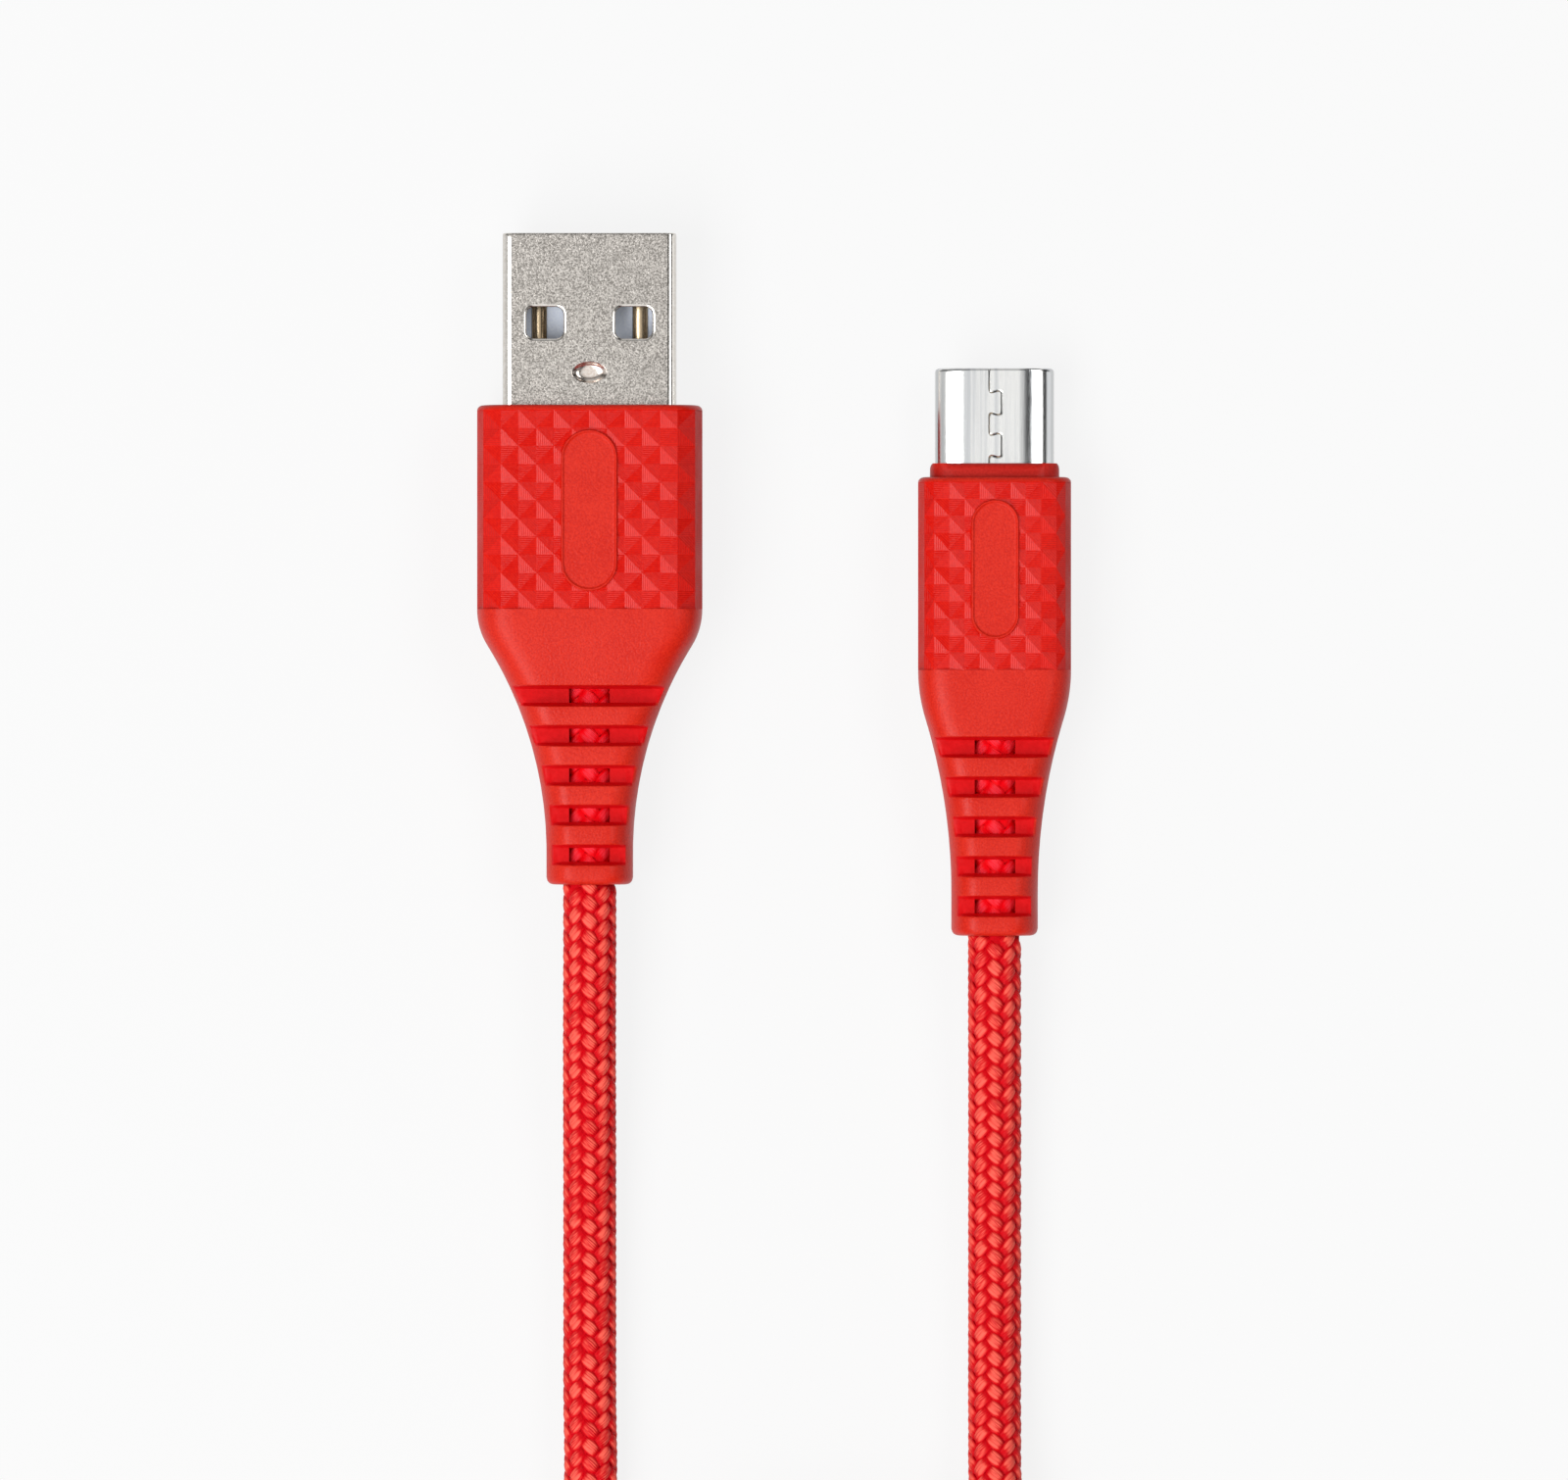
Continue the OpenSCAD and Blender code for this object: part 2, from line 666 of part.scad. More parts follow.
module usb_a_carrier() {
    w = usb_a_bay_w - 2 * mould_gap;
    h = usb_a_bay_h - 2 * mould_gap;
    end = usb_a_tip - usb_a_tongue_setback;
    block_end = usb_a_block_start + usb_a_block_len;
    groove = usb_a_contact_w / 2 + groove_gap;
    floor_z = usb_a_tongue_top - usb_a_contact_t - groove_gap;
    color(ivory)
        at_usb_a()
            difference() {
                along_plug(usb_a_block_start, end)
                    round_rect(w, h, usb_a_shell_round - usb_a_sheet + mould_gap);
                box([-w, block_end, usb_a_tongue_top], [w, end + past, usb_a_shell_h]);
                for (x = usb_a_contact_x)
                    box(
                        [x - groove, usb_a_block_start - past, floor_z],
                        [x + groove, end - usb_a_groove_setback, usb_a_tongue_top + groove_gap]
                    );
            }
}

module usb_a_contact(i, setback) {
    x = usb_a_contact_x[i];
    color(gold)
        at_usb_a()
            box(
                [x - usb_a_contact_w / 2, usb_a_tail_start, usb_a_tongue_top - usb_a_contact_t],
                [x + usb_a_contact_w / 2, usb_a_tip - setback, usb_a_tongue_top]
            );
}

module usb_a_contact_supply() {
    usb_a_contact(0, usb_a_power_setback);
}

module usb_a_contact_data_minus() {
    usb_a_contact(1, usb_a_data_setback);
}

module usb_a_contact_data_plus() {
    usb_a_contact(2, usb_a_data_setback);
}

module usb_a_contact_ground() {
    usb_a_contact(3, usb_a_power_setback);
}

module usb_a_inner_mould() {
    room_w = usb_a_mould_w - 2 * usb_a_mould_t;
    room_h = usb_a_mould_h - 2 * usb_a_mould_t;
    color(ivory)
        at_usb_a()
            difference() {
                along_plug(usb_a_mould_start, usb_a_shell_start - mould_gap)
                    round_rect(usb_a_mould_w, usb_a_mould_h, usb_a_mould_round);
                box(
                    [-room_w / 2, usb_a_mould_start + mould_wall, -room_h / 2],
                    [room_w / 2, usb_a_shell_start + past, room_h / 2]
                );
                cord_bore(usb_a_mould_start - past, usb_a_mould_start + mould_wall + past);
            }
}

module usb_a_grip() {
    color(red)
        at_usb_a()
            difference() {
                loft([for (y = grip_stations(usb_a_neck_end, usb_a_front)) usb_a_ring(y)]);
                cord_bore(boot_len - past, usb_a_mould_start);
                along_plug(usb_a_mould_start - mould_gap, usb_a_shell_start)
                    round_rect(
                        usb_a_mould_w + 2 * mould_gap,
                        usb_a_mould_h + 2 * mould_gap,
                        usb_a_mould_round + mould_gap
                    );
                along_plug(usb_a_shell_start - mould_gap, usb_a_front + past)
                    round_rect(
                        usb_a_shell_w + 2 * mould_gap,
                        usb_a_shell_h + 2 * mould_gap,
                        usb_a_shell_round + mould_gap
                    );
            }
}

module usb_a_boot() {
    color(red)
        at_usb_a()
            difference() {
                loft([for (y = boot_stations) usb_a_ring(y)]);
                cord_bore(-past, boot_len + past);
                slots();
            }
}

module usb_a_braid_end() {
    color(red)
        at_usb_a()
            sleeve(cable_r, cable_r - braid_t, usb_a_mould_start + braid_seat);
}

module usb_a_jacket_end() {
    color([0.15, 0.15, 0.15])
        at_usb_a()
            sleeve(jacket_r, jacket_bore_r, usb_a_mould_start + braid_seat + jacket_bare);
}

module usb_a_wire(i, x, z) {
    at_usb_a()
        wire(
            x * wire_offset,
            z * wire_offset,
            usb_a_contact_x[i],
            usb_a_tongue_top + wire_tip_d / 2,
            usb_a_mould_start + braid_seat + jacket_bare,
            usb_a_tail_start - mould_gap
        );
}

module usb_a_wire_red() {
    color([0.8, 0.1, 0.1])
        usb_a_wire(0, -1, 1);
}

module usb_a_wire_white() {
    color([0.95, 0.95, 0.95])
        usb_a_wire(1, -1, -1);
}

module usb_a_wire_green() {
    color([0.1, 0.6, 0.25])
        usb_a_wire(2, 1, -1);
}

module usb_a_wire_black() {
    color([0.1, 0.1, 0.1])
        usb_a_wire(3, 1, 1);
}

module usb_a_wire_tips() {
    color(copper)
        at_usb_a()
            for (x = usb_a_contact_x)
                translate([x, usb_a_tail_start - mould_gap, usb_a_tongue_top + wire_tip_d / 2])
                    rotate([-90, 0, 0])
                        cylinder(d = wire_tip_d, h = usb_a_tail_len - usb_a_tail_bare);
}

// Narrow cut from one point of the seam to the next
module seam_cut(p, q) {
    side = usb_c_seam / 2 * unit([p.y - q.y, q.x - p.x]);
    polygon([p + side, q + side, q - side, p - side]);
}

module usb_c_seam_cuts() {
    x0 = usb_c_seam_x;
    x1 = usb_c_seam_x + usb_c_dovetail_reach;
    root = usb_c_dovetail_root / 2;
    head = usb_c_dovetail_head / 2;
    y0 = usb_c_tip - usb_c_dovetail_setback;
    y1 = y0 - usb_c_dovetail_pitch;
    joint = usb_c_seam / 4;
    seam = concat(
        [[x0, usb_c_tip + past]],
        [
            for (y = [y0, y1])
                each [[x0, y + root], [x1, y + head], [x1, y - head], [x0, y - root]]
        ],
        [[x0, usb_c_shell_start - past]]
    );
    linear_extrude(usb_c_shell_h)
        for (i = [1:len(seam) - 1]) {
            reach = joint * unit(seam[i] - seam[i - 1]);
            seam_cut(seam[i - 1] - reach, seam[i] + reach);
        }
}

module usb_c_shell() {
    color(steel)
        at_usb_c()
            difference() {
                along_plug(usb_c_shell_start, usb_c_tip)
                    stadium(usb_c_shell_w, usb_c_shell_h);
                along_plug(usb_c_shell_start - past, usb_c_tip + past)
                    stadium(usb_c_bay_w, usb_c_bay_h);
                usb_c_seam_cuts();
            }
}

// Slots for one row of contacts, open to the outside of the nose
module usb_c_contact_slots() {
    w = usb_c_contact_w + 2 * groove_gap;
    for (i = [0:11])
        translate([(i - 5.5) * usb_c_contact_pitch, 0, 0])
            box(
                [-w / 2, usb_c_nose_start - past, usb_c_contact_clear - groove_gap],
                [w / 2, usb_c_nose_end - usb_c_slot_setback, usb_c_shell_h]
            );
}

module usb_c_nose() {
    room_w = (usb_c_bay_w - usb_c_mouth_w) / 4 + groove_gap;
    room_h = usb_c_latch_h / 2 + groove_gap;
    room_end = usb_c_nose_end - usb_c_latch_setback + usb_c_latch_t;
    color([0.1, 0.1, 0.11])
        at_usb_c()
            difference() {
                along_plug(usb_c_nose_start, usb_c_nose_end)
                    stadium(usb_c_nose_w, usb_c_nose_h);
                box(
                    [-usb_c_mouth_w / 2, usb_c_nose_end - usb_c_mouth_depth, -usb_c_mouth_h / 2],
                    [usb_c_mouth_w / 2, usb_c_tip, usb_c_mouth_h / 2]
                );
                usb_c_contact_slots();
                mirror([0, 0, 1])
                    usb_c_contact_slots();
                for (side = [-1, 1])
                    translate([side * (usb_c_mouth_w + usb_c_bay_w) / 4, 0, 0])
                        box(
                            [-room_w, usb_c_nose_start - past, -room_h],
                            [room_w, room_end, room_h]
                        );
            }
}

// One row of spring contacts, from the tails on the board to the bent ends in the mouth
module usb_c_contact_row(places) {
    t = usb_c_contact_t;
    pad_z = usb_c_board_t / 2;
    beam_z = usb_c_nose_h / 2 - usb_c_beam_inset - t;
    touch_z = usb_c_contact_clear;
    tail = usb_c_board_end - usb_c_contact_tail;
    rise = usb_c_nose_start + usb_c_rise_setback;
    beam = rise + usb_c_rise_len;
    end = usb_c_nose_end - usb_c_contact_setback;
    lead = end - usb_c_lead_len;
    touch = lead - usb_c_touch_len;
    fall = touch - usb_c_fall_len;
    for (i = places)
        translate([(i - 5.5) * usb_c_contact_pitch, 0, 0])
            across_plug(usb_c_contact_w)
                polygon([
                    [tail, pad_z],
                    [rise, pad_z],
                    [beam, beam_z],
                    [fall, beam_z],
                    [touch, touch_z],
                    [lead, touch_z],
                    [end, touch_z + usb_c_lead_h],
                    [end, touch_z + usb_c_lead_h + t],
                    [lead, touch_z + t],
                    [touch, touch_z + t],
                    [fall, beam_z + t],
                    [beam - 2 / 3 * t, beam_z + t],
                    [rise - 2 / 3 * t, pad_z + t],
                    [tail, pad_z + t]
                ]);
}

module usb_c_contacts_upper() {
    color(gold)
        at_usb_c()
            usb_c_contact_row(usb_c_places_upper);
}

module usb_c_contacts_lower() {
    color(gold)
        at_usb_c()
            mirror([0, 0, 1])
                usb_c_contact_row(usb_c_places_lower);
}

// Side latch at the right, with its hook turned into the mouth
module usb_c_latch() {
    x0 = usb_c_latch_x;
    x1 = usb_c_latch_x + usb_c_latch_t;
    hook_x = usb_c_mouth_w / 2 - usb_c_hook_reach;
    end = usb_c_nose_end - usb_c_latch_setback;
    hook_end = end - usb_c_hook_slope;
    hook_start = hook_end - usb_c_hook_len;
    start = hook_start - usb_c_hook_slope;
    translate([0, 0, -usb_c_latch_h / 2])
        linear_extrude(usb_c_latch_h)
            polygon([
                [x0, usb_c_latch_start],
                [x1, usb_c_latch_start],
                [x1, start],
                [hook_x + usb_c_latch_t, hook_start + usb_c_hook_len / 4],
                [hook_x + usb_c_latch_t, hook_end - usb_c_hook_len / 4],
                [x1, end],
                [x0, end],
                [hook_x, hook_end],
                [hook_x, hook_start],
                [x0, start]
            ]);
}

module usb_c_latch_left() {
    color(steel)
        at_usb_c()
            mirror([1, 0, 0])
                usb_c_latch();
}

module usb_c_latch_right() {
    color(steel)
        at_usb_c()
            usb_c_latch();
}

module usb_c_board() {
    color([0.1, 0.35, 0.2])
        at_usb_c()
            box(
                [-usb_c_board_w / 2, usb_c_board_start, -usb_c_board_t / 2],
                [usb_c_board_w / 2, usb_c_board_end, usb_c_board_t / 2]
            );
}

module usb_c_resistor() {
    color([0.12, 0.12, 0.13])
        at_usb_c()
            translate([0, usb_c_board_start + usb_c_resistor_y, usb_c_board_t / 2])
                box(
                    [-usb_c_resistor_l / 2, -usb_c_resistor_w / 2, 0],
                    [usb_c_resistor_l / 2, usb_c_resistor_w / 2, usb_c_resistor_t]
                );
}

module usb_c_inner_mould() {
    room_w = usb_c_mould_w - 2 * usb_c_mould_side;
    room_h = usb_c_mould_h - 2 * usb_c_mould_roof;
    color([0.6, 0.06, 0.05])
        at_usb_c()
            difference() {
                along_plug(usb_c_mould_start, usb_c_collar_end)
                    round_rect(usb_c_mould_w, usb_c_mould_h, usb_c_mould_round);
                along_plug(usb_c_shell_start - mould_gap, usb_c_collar_end + past)
                    stadium(usb_c_shell_w + 2 * mould_gap, usb_c_shell_h + 2 * mould_gap);
                box(
                    [-room_w / 2, usb_c_mould_start + mould_wall, -room_h / 2],
                    [room_w / 2, usb_c_shell_start, room_h / 2]
                );
                cord_bore(usb_c_mould_start - past, usb_c_mould_start + mould_wall + past);
            }
}

module usb_c_grip() {
    color(red)
        at_usb_c()
            difference() {
                loft([for (y = grip_stations(usb_c_neck_end, usb_c_front)) usb_c_ring(y)]);
                cord_bore(boot_len - past, usb_c_mould_start);
                along_plug(usb_c_mould_start - mould_gap, usb_c_front + past)
                    round_rect(
                        usb_c_mould_w + 2 * mould_gap,
                        usb_c_mould_h + 2 * mould_gap,
                        usb_c_mould_round + mould_gap
                    );
            }
}

module usb_c_boot() {
    color(red)
        at_usb_c()
            difference() {
                loft([for (y = boot_stations) usb_c_ring(y)]);
                cord_bore(-past, boot_len + past);
                slots();
            }
}

module usb_c_braid_end() {
    color(red)
        at_usb_c()
            sleeve(cable_r, cable_r - braid_t, usb_c_mould_start + braid_seat);
}

module usb_c_jacket_end() {
    color([0.15, 0.15, 0.15])
        at_usb_c()
            sleeve(jacket_r, jacket_bore_r, usb_c_mould_start + braid_seat + jacket_bare);
}

module usb_c_wire(x, z) {
    at_usb_c()
        wire(
            x * wire_offset,
            z * wire_offset,
            x * usb_c_pad_x,
            z * (usb_c_board_t + wire_tip_d) / 2,
            usb_c_mould_start + braid_seat + jacket_bare,
            usb_c_board_start - mould_gap
        );
}

module usb_c_wire_red() {
    color([0.8, 0.1, 0.1])
        usb_c_wire(-1, 1);
}

module usb_c_wire_white() {
    color([0.95, 0.95, 0.95])
        usb_c_wire(-1, -1);
}

module usb_c_wire_green() {
    color([0.1, 0.6, 0.25])
        usb_c_wire(1, -1);
}

module usb_c_wire_black() {
    color([0.1, 0.1, 0.1])
        usb_c_wire(1, 1);
}

module usb_c_wire_tips() {
    color(copper)
        at_usb_c()
            for (x = [-1, 1], z = [-1, 1])
                translate([
                    x * usb_c_pad_x,
                    usb_c_board_start - mould_gap,
                    z * (usb_c_board_t + wire_tip_d) / 2
                ])
                    rotate([-90, 0, 0])
                        cylinder(d = wire_tip_d, h = usb_c_pad_len);
}

module cable_usb_a_run() {
    color(red)
        loft(tube_rings(usb_a_run_route, cable_r, run_sides));
}

module cable_coil() {
    color(red)
        loft(tube_rings(coil_route, cable_r, coil_sides));
}

module cable_usb_c_run() {
    color(red)
        loft(tube_rings(usb_c_run_route, cable_r, run_sides));
}

// Strap round the far side of the coil
module coil_tie() {
    far = coil_outer + cable_r + tie_gap;
    near = sqrt(coil_inner * coil_inner - tie_w * tie_w / 4) - cable_r - tie_gap;
    room_w = far - near;
    room_h = coil_pitch + cable_d + 2 * tie_gap;
    color([0.16, 0.16, 0.17])
        translate([coil_at.x, coil_at.y - (far + near) / 2, tie_t + room_h / 2])
            across_plug(tie_w)
                difference() {
                    round_rect(room_w + 2 * tie_t, room_h + 2 * tie_t, tie_round + tie_t);
                    round_rect(room_w, room_h, tie_round);
                }
}

usb_a_shell();
usb_a_carrier();
usb_a_contact_supply();
usb_a_contact_data_minus();
usb_a_contact_data_plus();
usb_a_contact_ground();
usb_a_inner_mould();
usb_a_grip();
usb_a_boot();
usb_a_braid_end();
usb_a_jacket_end();
usb_a_wire_red();
usb_a_wire_white();
usb_a_wire_green();
usb_a_wire_black();
usb_a_wire_tips();
usb_c_shell();
usb_c_nose();
usb_c_contacts_upper();
usb_c_contacts_lower();
usb_c_latch_left();
usb_c_latch_right();
usb_c_board();
usb_c_resistor();
usb_c_inner_mould();
usb_c_grip();
usb_c_boot();
usb_c_braid_end();
usb_c_jacket_end();
usb_c_wire_red();
usb_c_wire_white();
usb_c_wire_green();
usb_c_wire_black();
usb_c_wire_tips();
cable_usb_a_run();
cable_coil();
cable_usb_c_run();
coil_tie();
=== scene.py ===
"""Looks of a braided charging cable with a USB-A plug and a USB-C plug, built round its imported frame."""

from __future__ import annotations

import logging
import math
from abc import ABC, abstractmethod
from dataclasses import dataclass, replace
from enum import Enum, IntEnum
from functools import cache
from typing import Sequence, Union

import bmesh
import bpy
import numpy as np
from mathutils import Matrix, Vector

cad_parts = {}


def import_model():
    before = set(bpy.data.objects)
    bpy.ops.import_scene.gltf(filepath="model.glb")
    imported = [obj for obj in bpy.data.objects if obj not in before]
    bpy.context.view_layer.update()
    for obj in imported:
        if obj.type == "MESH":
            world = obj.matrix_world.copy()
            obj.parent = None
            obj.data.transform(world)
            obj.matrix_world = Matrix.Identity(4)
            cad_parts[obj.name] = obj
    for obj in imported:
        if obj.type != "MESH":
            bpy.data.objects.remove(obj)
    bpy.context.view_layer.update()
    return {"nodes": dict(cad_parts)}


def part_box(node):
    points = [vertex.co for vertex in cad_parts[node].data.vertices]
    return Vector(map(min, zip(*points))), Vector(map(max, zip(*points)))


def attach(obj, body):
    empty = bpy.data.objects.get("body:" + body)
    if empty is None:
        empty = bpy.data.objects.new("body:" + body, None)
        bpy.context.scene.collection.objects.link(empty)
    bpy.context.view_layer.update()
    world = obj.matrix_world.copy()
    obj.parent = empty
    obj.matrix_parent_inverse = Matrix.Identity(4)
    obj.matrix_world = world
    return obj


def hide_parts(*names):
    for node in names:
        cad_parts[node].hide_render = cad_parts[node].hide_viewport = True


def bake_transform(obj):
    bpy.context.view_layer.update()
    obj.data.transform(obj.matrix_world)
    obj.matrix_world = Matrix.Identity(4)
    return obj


LOG = logging.getLogger("charging_cable")
MM = 0.001
COPY_SHARP = 40.0
CROWN_CUTS = (-0.75, -0.5, -0.25, 0.0, 0.25, 0.5, 0.75)

Point = tuple[float, float, float]
Pairs = tuple[tuple[float, float], ...]
Colour = tuple[float, float, float, float]
Shade = tuple[int, int, int]
Feed = Union[float, int, bool, str, tuple, "Value", bpy.types.Node, bpy.types.NodeSocket, bpy.types.Material]


class Body(Enum):
    """Bodies of the frame that pieces ride on."""

    CABLE = "cable"
    USB_A = "usb_a_plug"
    USB_C = "usb_c_plug"


class Slot(Enum):
    """Names of material slots."""

    NICKEL = "nickel_steel"
    STAINLESS = "stainless_steel"
    GOLD = "gold_contact"
    COLLAR = "collar_red"
    ELASTOMER = "red_elastomer"
    BRAID = "red_braid"
    TIE = "tie_strap"


# ---------------------------------------------------------------------------------------------
# Node trees


class Value:
    """One output of a node, which can be reckoned with like a number."""

    def __init__(self, net: Net, socket: bpy.types.NodeSocket) -> None:
        """Wraps an output of one of a net's nodes."""
        self.net = net
        self.socket = socket

    def __add__(self, other: Feed) -> Value:
        """Returns the sum."""
        return self.net.math("ADD", self, other)

    def __sub__(self, other: Feed) -> Value:
        """Returns the difference."""
        return self.net.math("SUBTRACT", self, other)

    def __rsub__(self, other: Feed) -> Value:
        """Returns a number less this value."""
        return self.net.math("SUBTRACT", other, self)

    def __mul__(self, other: Feed) -> Value:
        """Returns the product."""
        return self.net.math("MULTIPLY", self, other)

    def __truediv__(self, other: Feed) -> Value:
        """Returns the quotient."""
        return self.net.math("DIVIDE", self, other)

    def __rtruediv__(self, other: Feed) -> Value:
        """Returns a number divided by this value."""
        return self.net.math("DIVIDE", other, self)

    def __mod__(self, other: Feed) -> Value:
        """Returns the remainder."""
        return self.net.math("MODULO", self, other)

    def __pow__(self, power: Feed) -> Value:
        """Returns a power."""
        return self.net.math("POWER", self, power)

    def fold(self) -> Value:
        """Returns a wave that climbs from 0 to 1 and falls back over each whole step."""
        return self.net.math("PINGPONG", self, 0.5) * 2.0

    def ranged(self, low: float, high: float, to_low: float, to_high: float) -> Value:
        """Returns the value mapped smoothly from one range to another."""
        limits = {0: self, 1: low, 2: high, 3: to_low, 4: to_high}
        return self.net.get("ShaderNodeMapRange", 0, limits, interpolation_type="SMOOTHSTEP")


class Net:
    """Adds and links the nodes of one shader or geometry tree."""

    def __init__(self, tree: bpy.types.NodeTree) -> None:
        """Works on one tree."""
        self.tree = tree

    def feed(self, node: bpy.types.Node, inputs: dict[str | int, Feed]) -> None:
        """Links nodes and values to a node's inputs, or sets plain values on them.

        Args:
            node: the node.
            inputs: by input name or number, a node, whose first output is used, a value or a plain value.
        """
        for key, value in inputs.items():
            if isinstance(value, bpy.types.Node):
                value = value.outputs[0]
            elif isinstance(value, Value):
                value = value.socket
            if isinstance(value, bpy.types.NodeSocket):
                self.tree.links.new(value, node.inputs[key])
            else:
                node.inputs[key].default_value = value

    def add(self, kind: str, inputs: dict[str | int, Feed] | None = None, **settings: object) -> bpy.types.Node:
        """Adds a node.

        Args:
            kind: the node's type name.
            inputs: what its inputs are fed with.
            settings: properties of the node.

        Returns:
            The node.
        """
        node = self.tree.nodes.new(kind)
        for name, value in settings.items():
            setattr(node, name, value)
        self.feed(node, inputs or {})
        return node

    def get(
        self, kind: str, key: str | int = 0, inputs: dict[str | int, Feed] | None = None, **settings: object
    ) -> Value:
        """Adds a node and returns one of its outputs, by name or number."""
        return Value(self, self.add(kind, inputs, **settings).outputs[key])

    def outs(self, node: bpy.types.Node) -> dict[str, Value]:
        """Returns a node's outputs by name."""
        return {socket.name: Value(self, socket) for socket in node.outputs}

    def group(self, tree: bpy.types.NodeTree, inputs: dict[str | int, Feed]) -> dict[str, Value]:
        """Adds a shared shader group and returns its outputs by name."""
        return self.outs(self.add("ShaderNodeGroup", inputs, node_tree=tree))

    def math(self, operation: str, *values: Feed) -> Value:
        """Returns the result of a Math node."""
        return self.get("ShaderNodeMath", 0, dict(enumerate(values)), operation=operation)

    def vector(self, operation: str, *values: Feed) -> Value:
        """Returns the vector of a Vector Math node."""
        return self.get("ShaderNodeVectorMath", 0, dict(enumerate(values)), operation=operation)

    def scaled(self, vector: Feed, factor: Feed) -> Value:
        """Returns a vector times a number."""
        return self.get("ShaderNodeVectorMath", 0, {0: vector, "Scale": factor}, operation="SCALE")

    def split(self, vector: Feed) -> list[Value]:
        """Returns the three parts of a vector."""
        return [Value(self, part) for part in self.add("ShaderNodeSeparateXYZ", {0: vector}).outputs]

    def joined(self, *parts: Feed) -> Value:
        """Returns a vector from its parts."""
        return self.get("ShaderNodeCombineXYZ", 0, dict(enumerate(parts)))

    def mixed(self, factor: Feed, first: Feed, second: Feed) -> Value:
        """Returns a colour between two colours."""
        return self.get("ShaderNodeMix", 2, {"Factor": factor, 6: first, 7: second}, data_type="RGBA")

    def noise(self, place: Feed, scale: float = 1.0, detail: float = 2.0, roughness: float = 0.5) -> Value:
        """Returns smooth noise from 0 to 1."""
        inputs = {"Vector": place, "Scale": scale, "Detail": detail, "Roughness": roughness}
        return self.get("ShaderNodeTexNoise", 0, inputs)

    def bump(self, height: Feed, depth: float) -> Value:
        """Returns a normal that follows a height, where a height of 1 stands for a depth in metres."""
        return self.get("ShaderNodeBump", 0, {"Strength": 1.0, "Distance": depth, "Height": height})

    def named(self, name: str, kind: str = "FLOAT") -> Value:
        """Returns a named attribute of the geometry."""
        return self.get("GeometryNodeInputNamedAttribute", 0, {"Name": name}, data_type=kind)

    def store(
        self, geometry: Feed, name: str, value: Feed, kind: str = "FLOAT", domain: str = "POINT"
    ) -> bpy.types.Node:
        """Stores a named attribute on the geometry."""
        inputs = {"Geometry": geometry, "Name": name, "Value": value}
        return self.add("GeometryNodeStoreNamedAttribute", inputs, data_type=kind, domain=domain)

    def join(self, *parts: Feed) -> bpy.types.Node:
        """Joins geometries in order.

        Args:
            parts: the geometries.

        Returns:
            The joining node.
        """
        node = self.add("GeometryNodeJoinGeometry")
        for part in parts:
            self.feed(node, {0: part})
        return node


def new_group(name: str, outputs: Sequence[str], inputs: dict[str, float]) -> tuple[Net, dict[str, Value]]:
    """Makes an empty shader node group of plain numbers.

    Args:
        name: the group's name.
        outputs: names of its outputs.
        inputs: default by input name.

    Returns:
        The group's node helper and its inputs by name.
    """
    tree = bpy.data.node_groups.new(name, "ShaderNodeTree")
    for label, value in inputs.items():
        tree.interface.new_socket(label, in_out="INPUT", socket_type="NodeSocketFloat").default_value = value
    for label in outputs:
        tree.interface.new_socket(label, in_out="OUTPUT", socket_type="NodeSocketFloat")
    net = Net(tree)
    return net, net.outs(net.add("NodeGroupInput"))


@cache
def fine_grain() -> bpy.types.NodeTree:
    """Makes the group of fine pitted grain with slow blotches, in object space.

    Returns:
        The group.
    """
    sizes = {"Pitch": 0.0002, "Blotch Size": 0.004}
    net, given = new_group("fine_grain", ("Height", "Speckle", "Blotch"), sizes)
    place = net.get("ShaderNodeTexCoord", "Object")
    close, wide = (net.scaled(place, 1.0 / given[size]) for size in sizes)
    speckle = net.noise(close, roughness=0.6)
    pits = net.get("ShaderNodeTexVoronoi", "Distance", {"Vector": close, "Scale": 0.8}, feature="SMOOTH_F1")
    blotch = net.noise(wide, detail=3.0)
    net.add("NodeGroupOutput", {"Height": speckle + pits * 0.6, "Speckle": speckle, "Blotch": blotch})
    return net.tree


@cache
def drawn_streaks() -> bpy.types.NodeTree:
    """Makes the group of streaks drawn out along the plug, in object space.

    Returns:
        The group.
    """
    sizes = {"Across": 0.00008, "Along": 0.004}
    net, given = new_group("drawn_streaks", ("Height", "Streak"), sizes)
    across, along = (1.0 / given[size] for size in sizes)
    place = net.get("ShaderNodeTexCoord", "Object")
    drawn = net.vector("MULTIPLY", place, net.joined(across, along, across))
    fine, broad = net.noise(drawn, detail=3.0, roughness=0.7), net.noise(net.scaled(drawn, 0.14))
    net.add("NodeGroupOutput", {"Height": fine, "Streak": broad})
    return net.tree


@cache
def filament_lines() -> bpy.types.NodeTree:
    """Makes the group of filament lines that follow a strand's own map.

    Returns:
        The group.
    """
    net, given = new_group("filament_lines", ("Height", "Line", "Crown", "Middle"), {"Filaments": 9.0})
    along, across, _ = net.split(net.get("ShaderNodeUVMap", uv_map="yarn"))
    tone = net.get("ShaderNodeAttribute", "Fac", attribute_name="tone")
    sway = net.noise(net.joined(along, tone), scale=2.0)
    turns = (across + sway * 0.16) * given["Filaments"]
    line = net.noise(net.joined(along * 1.3, turns, tone), detail=1.0)
    # Crown and Middle later set the painted shade at a strand's edges and ends.
    shown = {"Height": turns.fold(), "Line": line, "Crown": across.fold(), "Middle": along.fold()}
    net.add("NodeGroupOutput", shown)
    return net.tree


# ---------------------------------------------------------------------------------------------
# Finishes


def srgb(shade: Shade) -> Colour:
    """Returns a colour for a shader.

    Args:
        shade: its 8-bit values as they are shown.

    Returns:
        Its linear values, and full cover.
    """
    shares = [value / 255 for value in shade]
    linear = [part / 12.92 if part <= 0.04045 else ((part + 0.055) / 1.055) ** 2.4 for part in shares]
    return (*linear, 1.0)


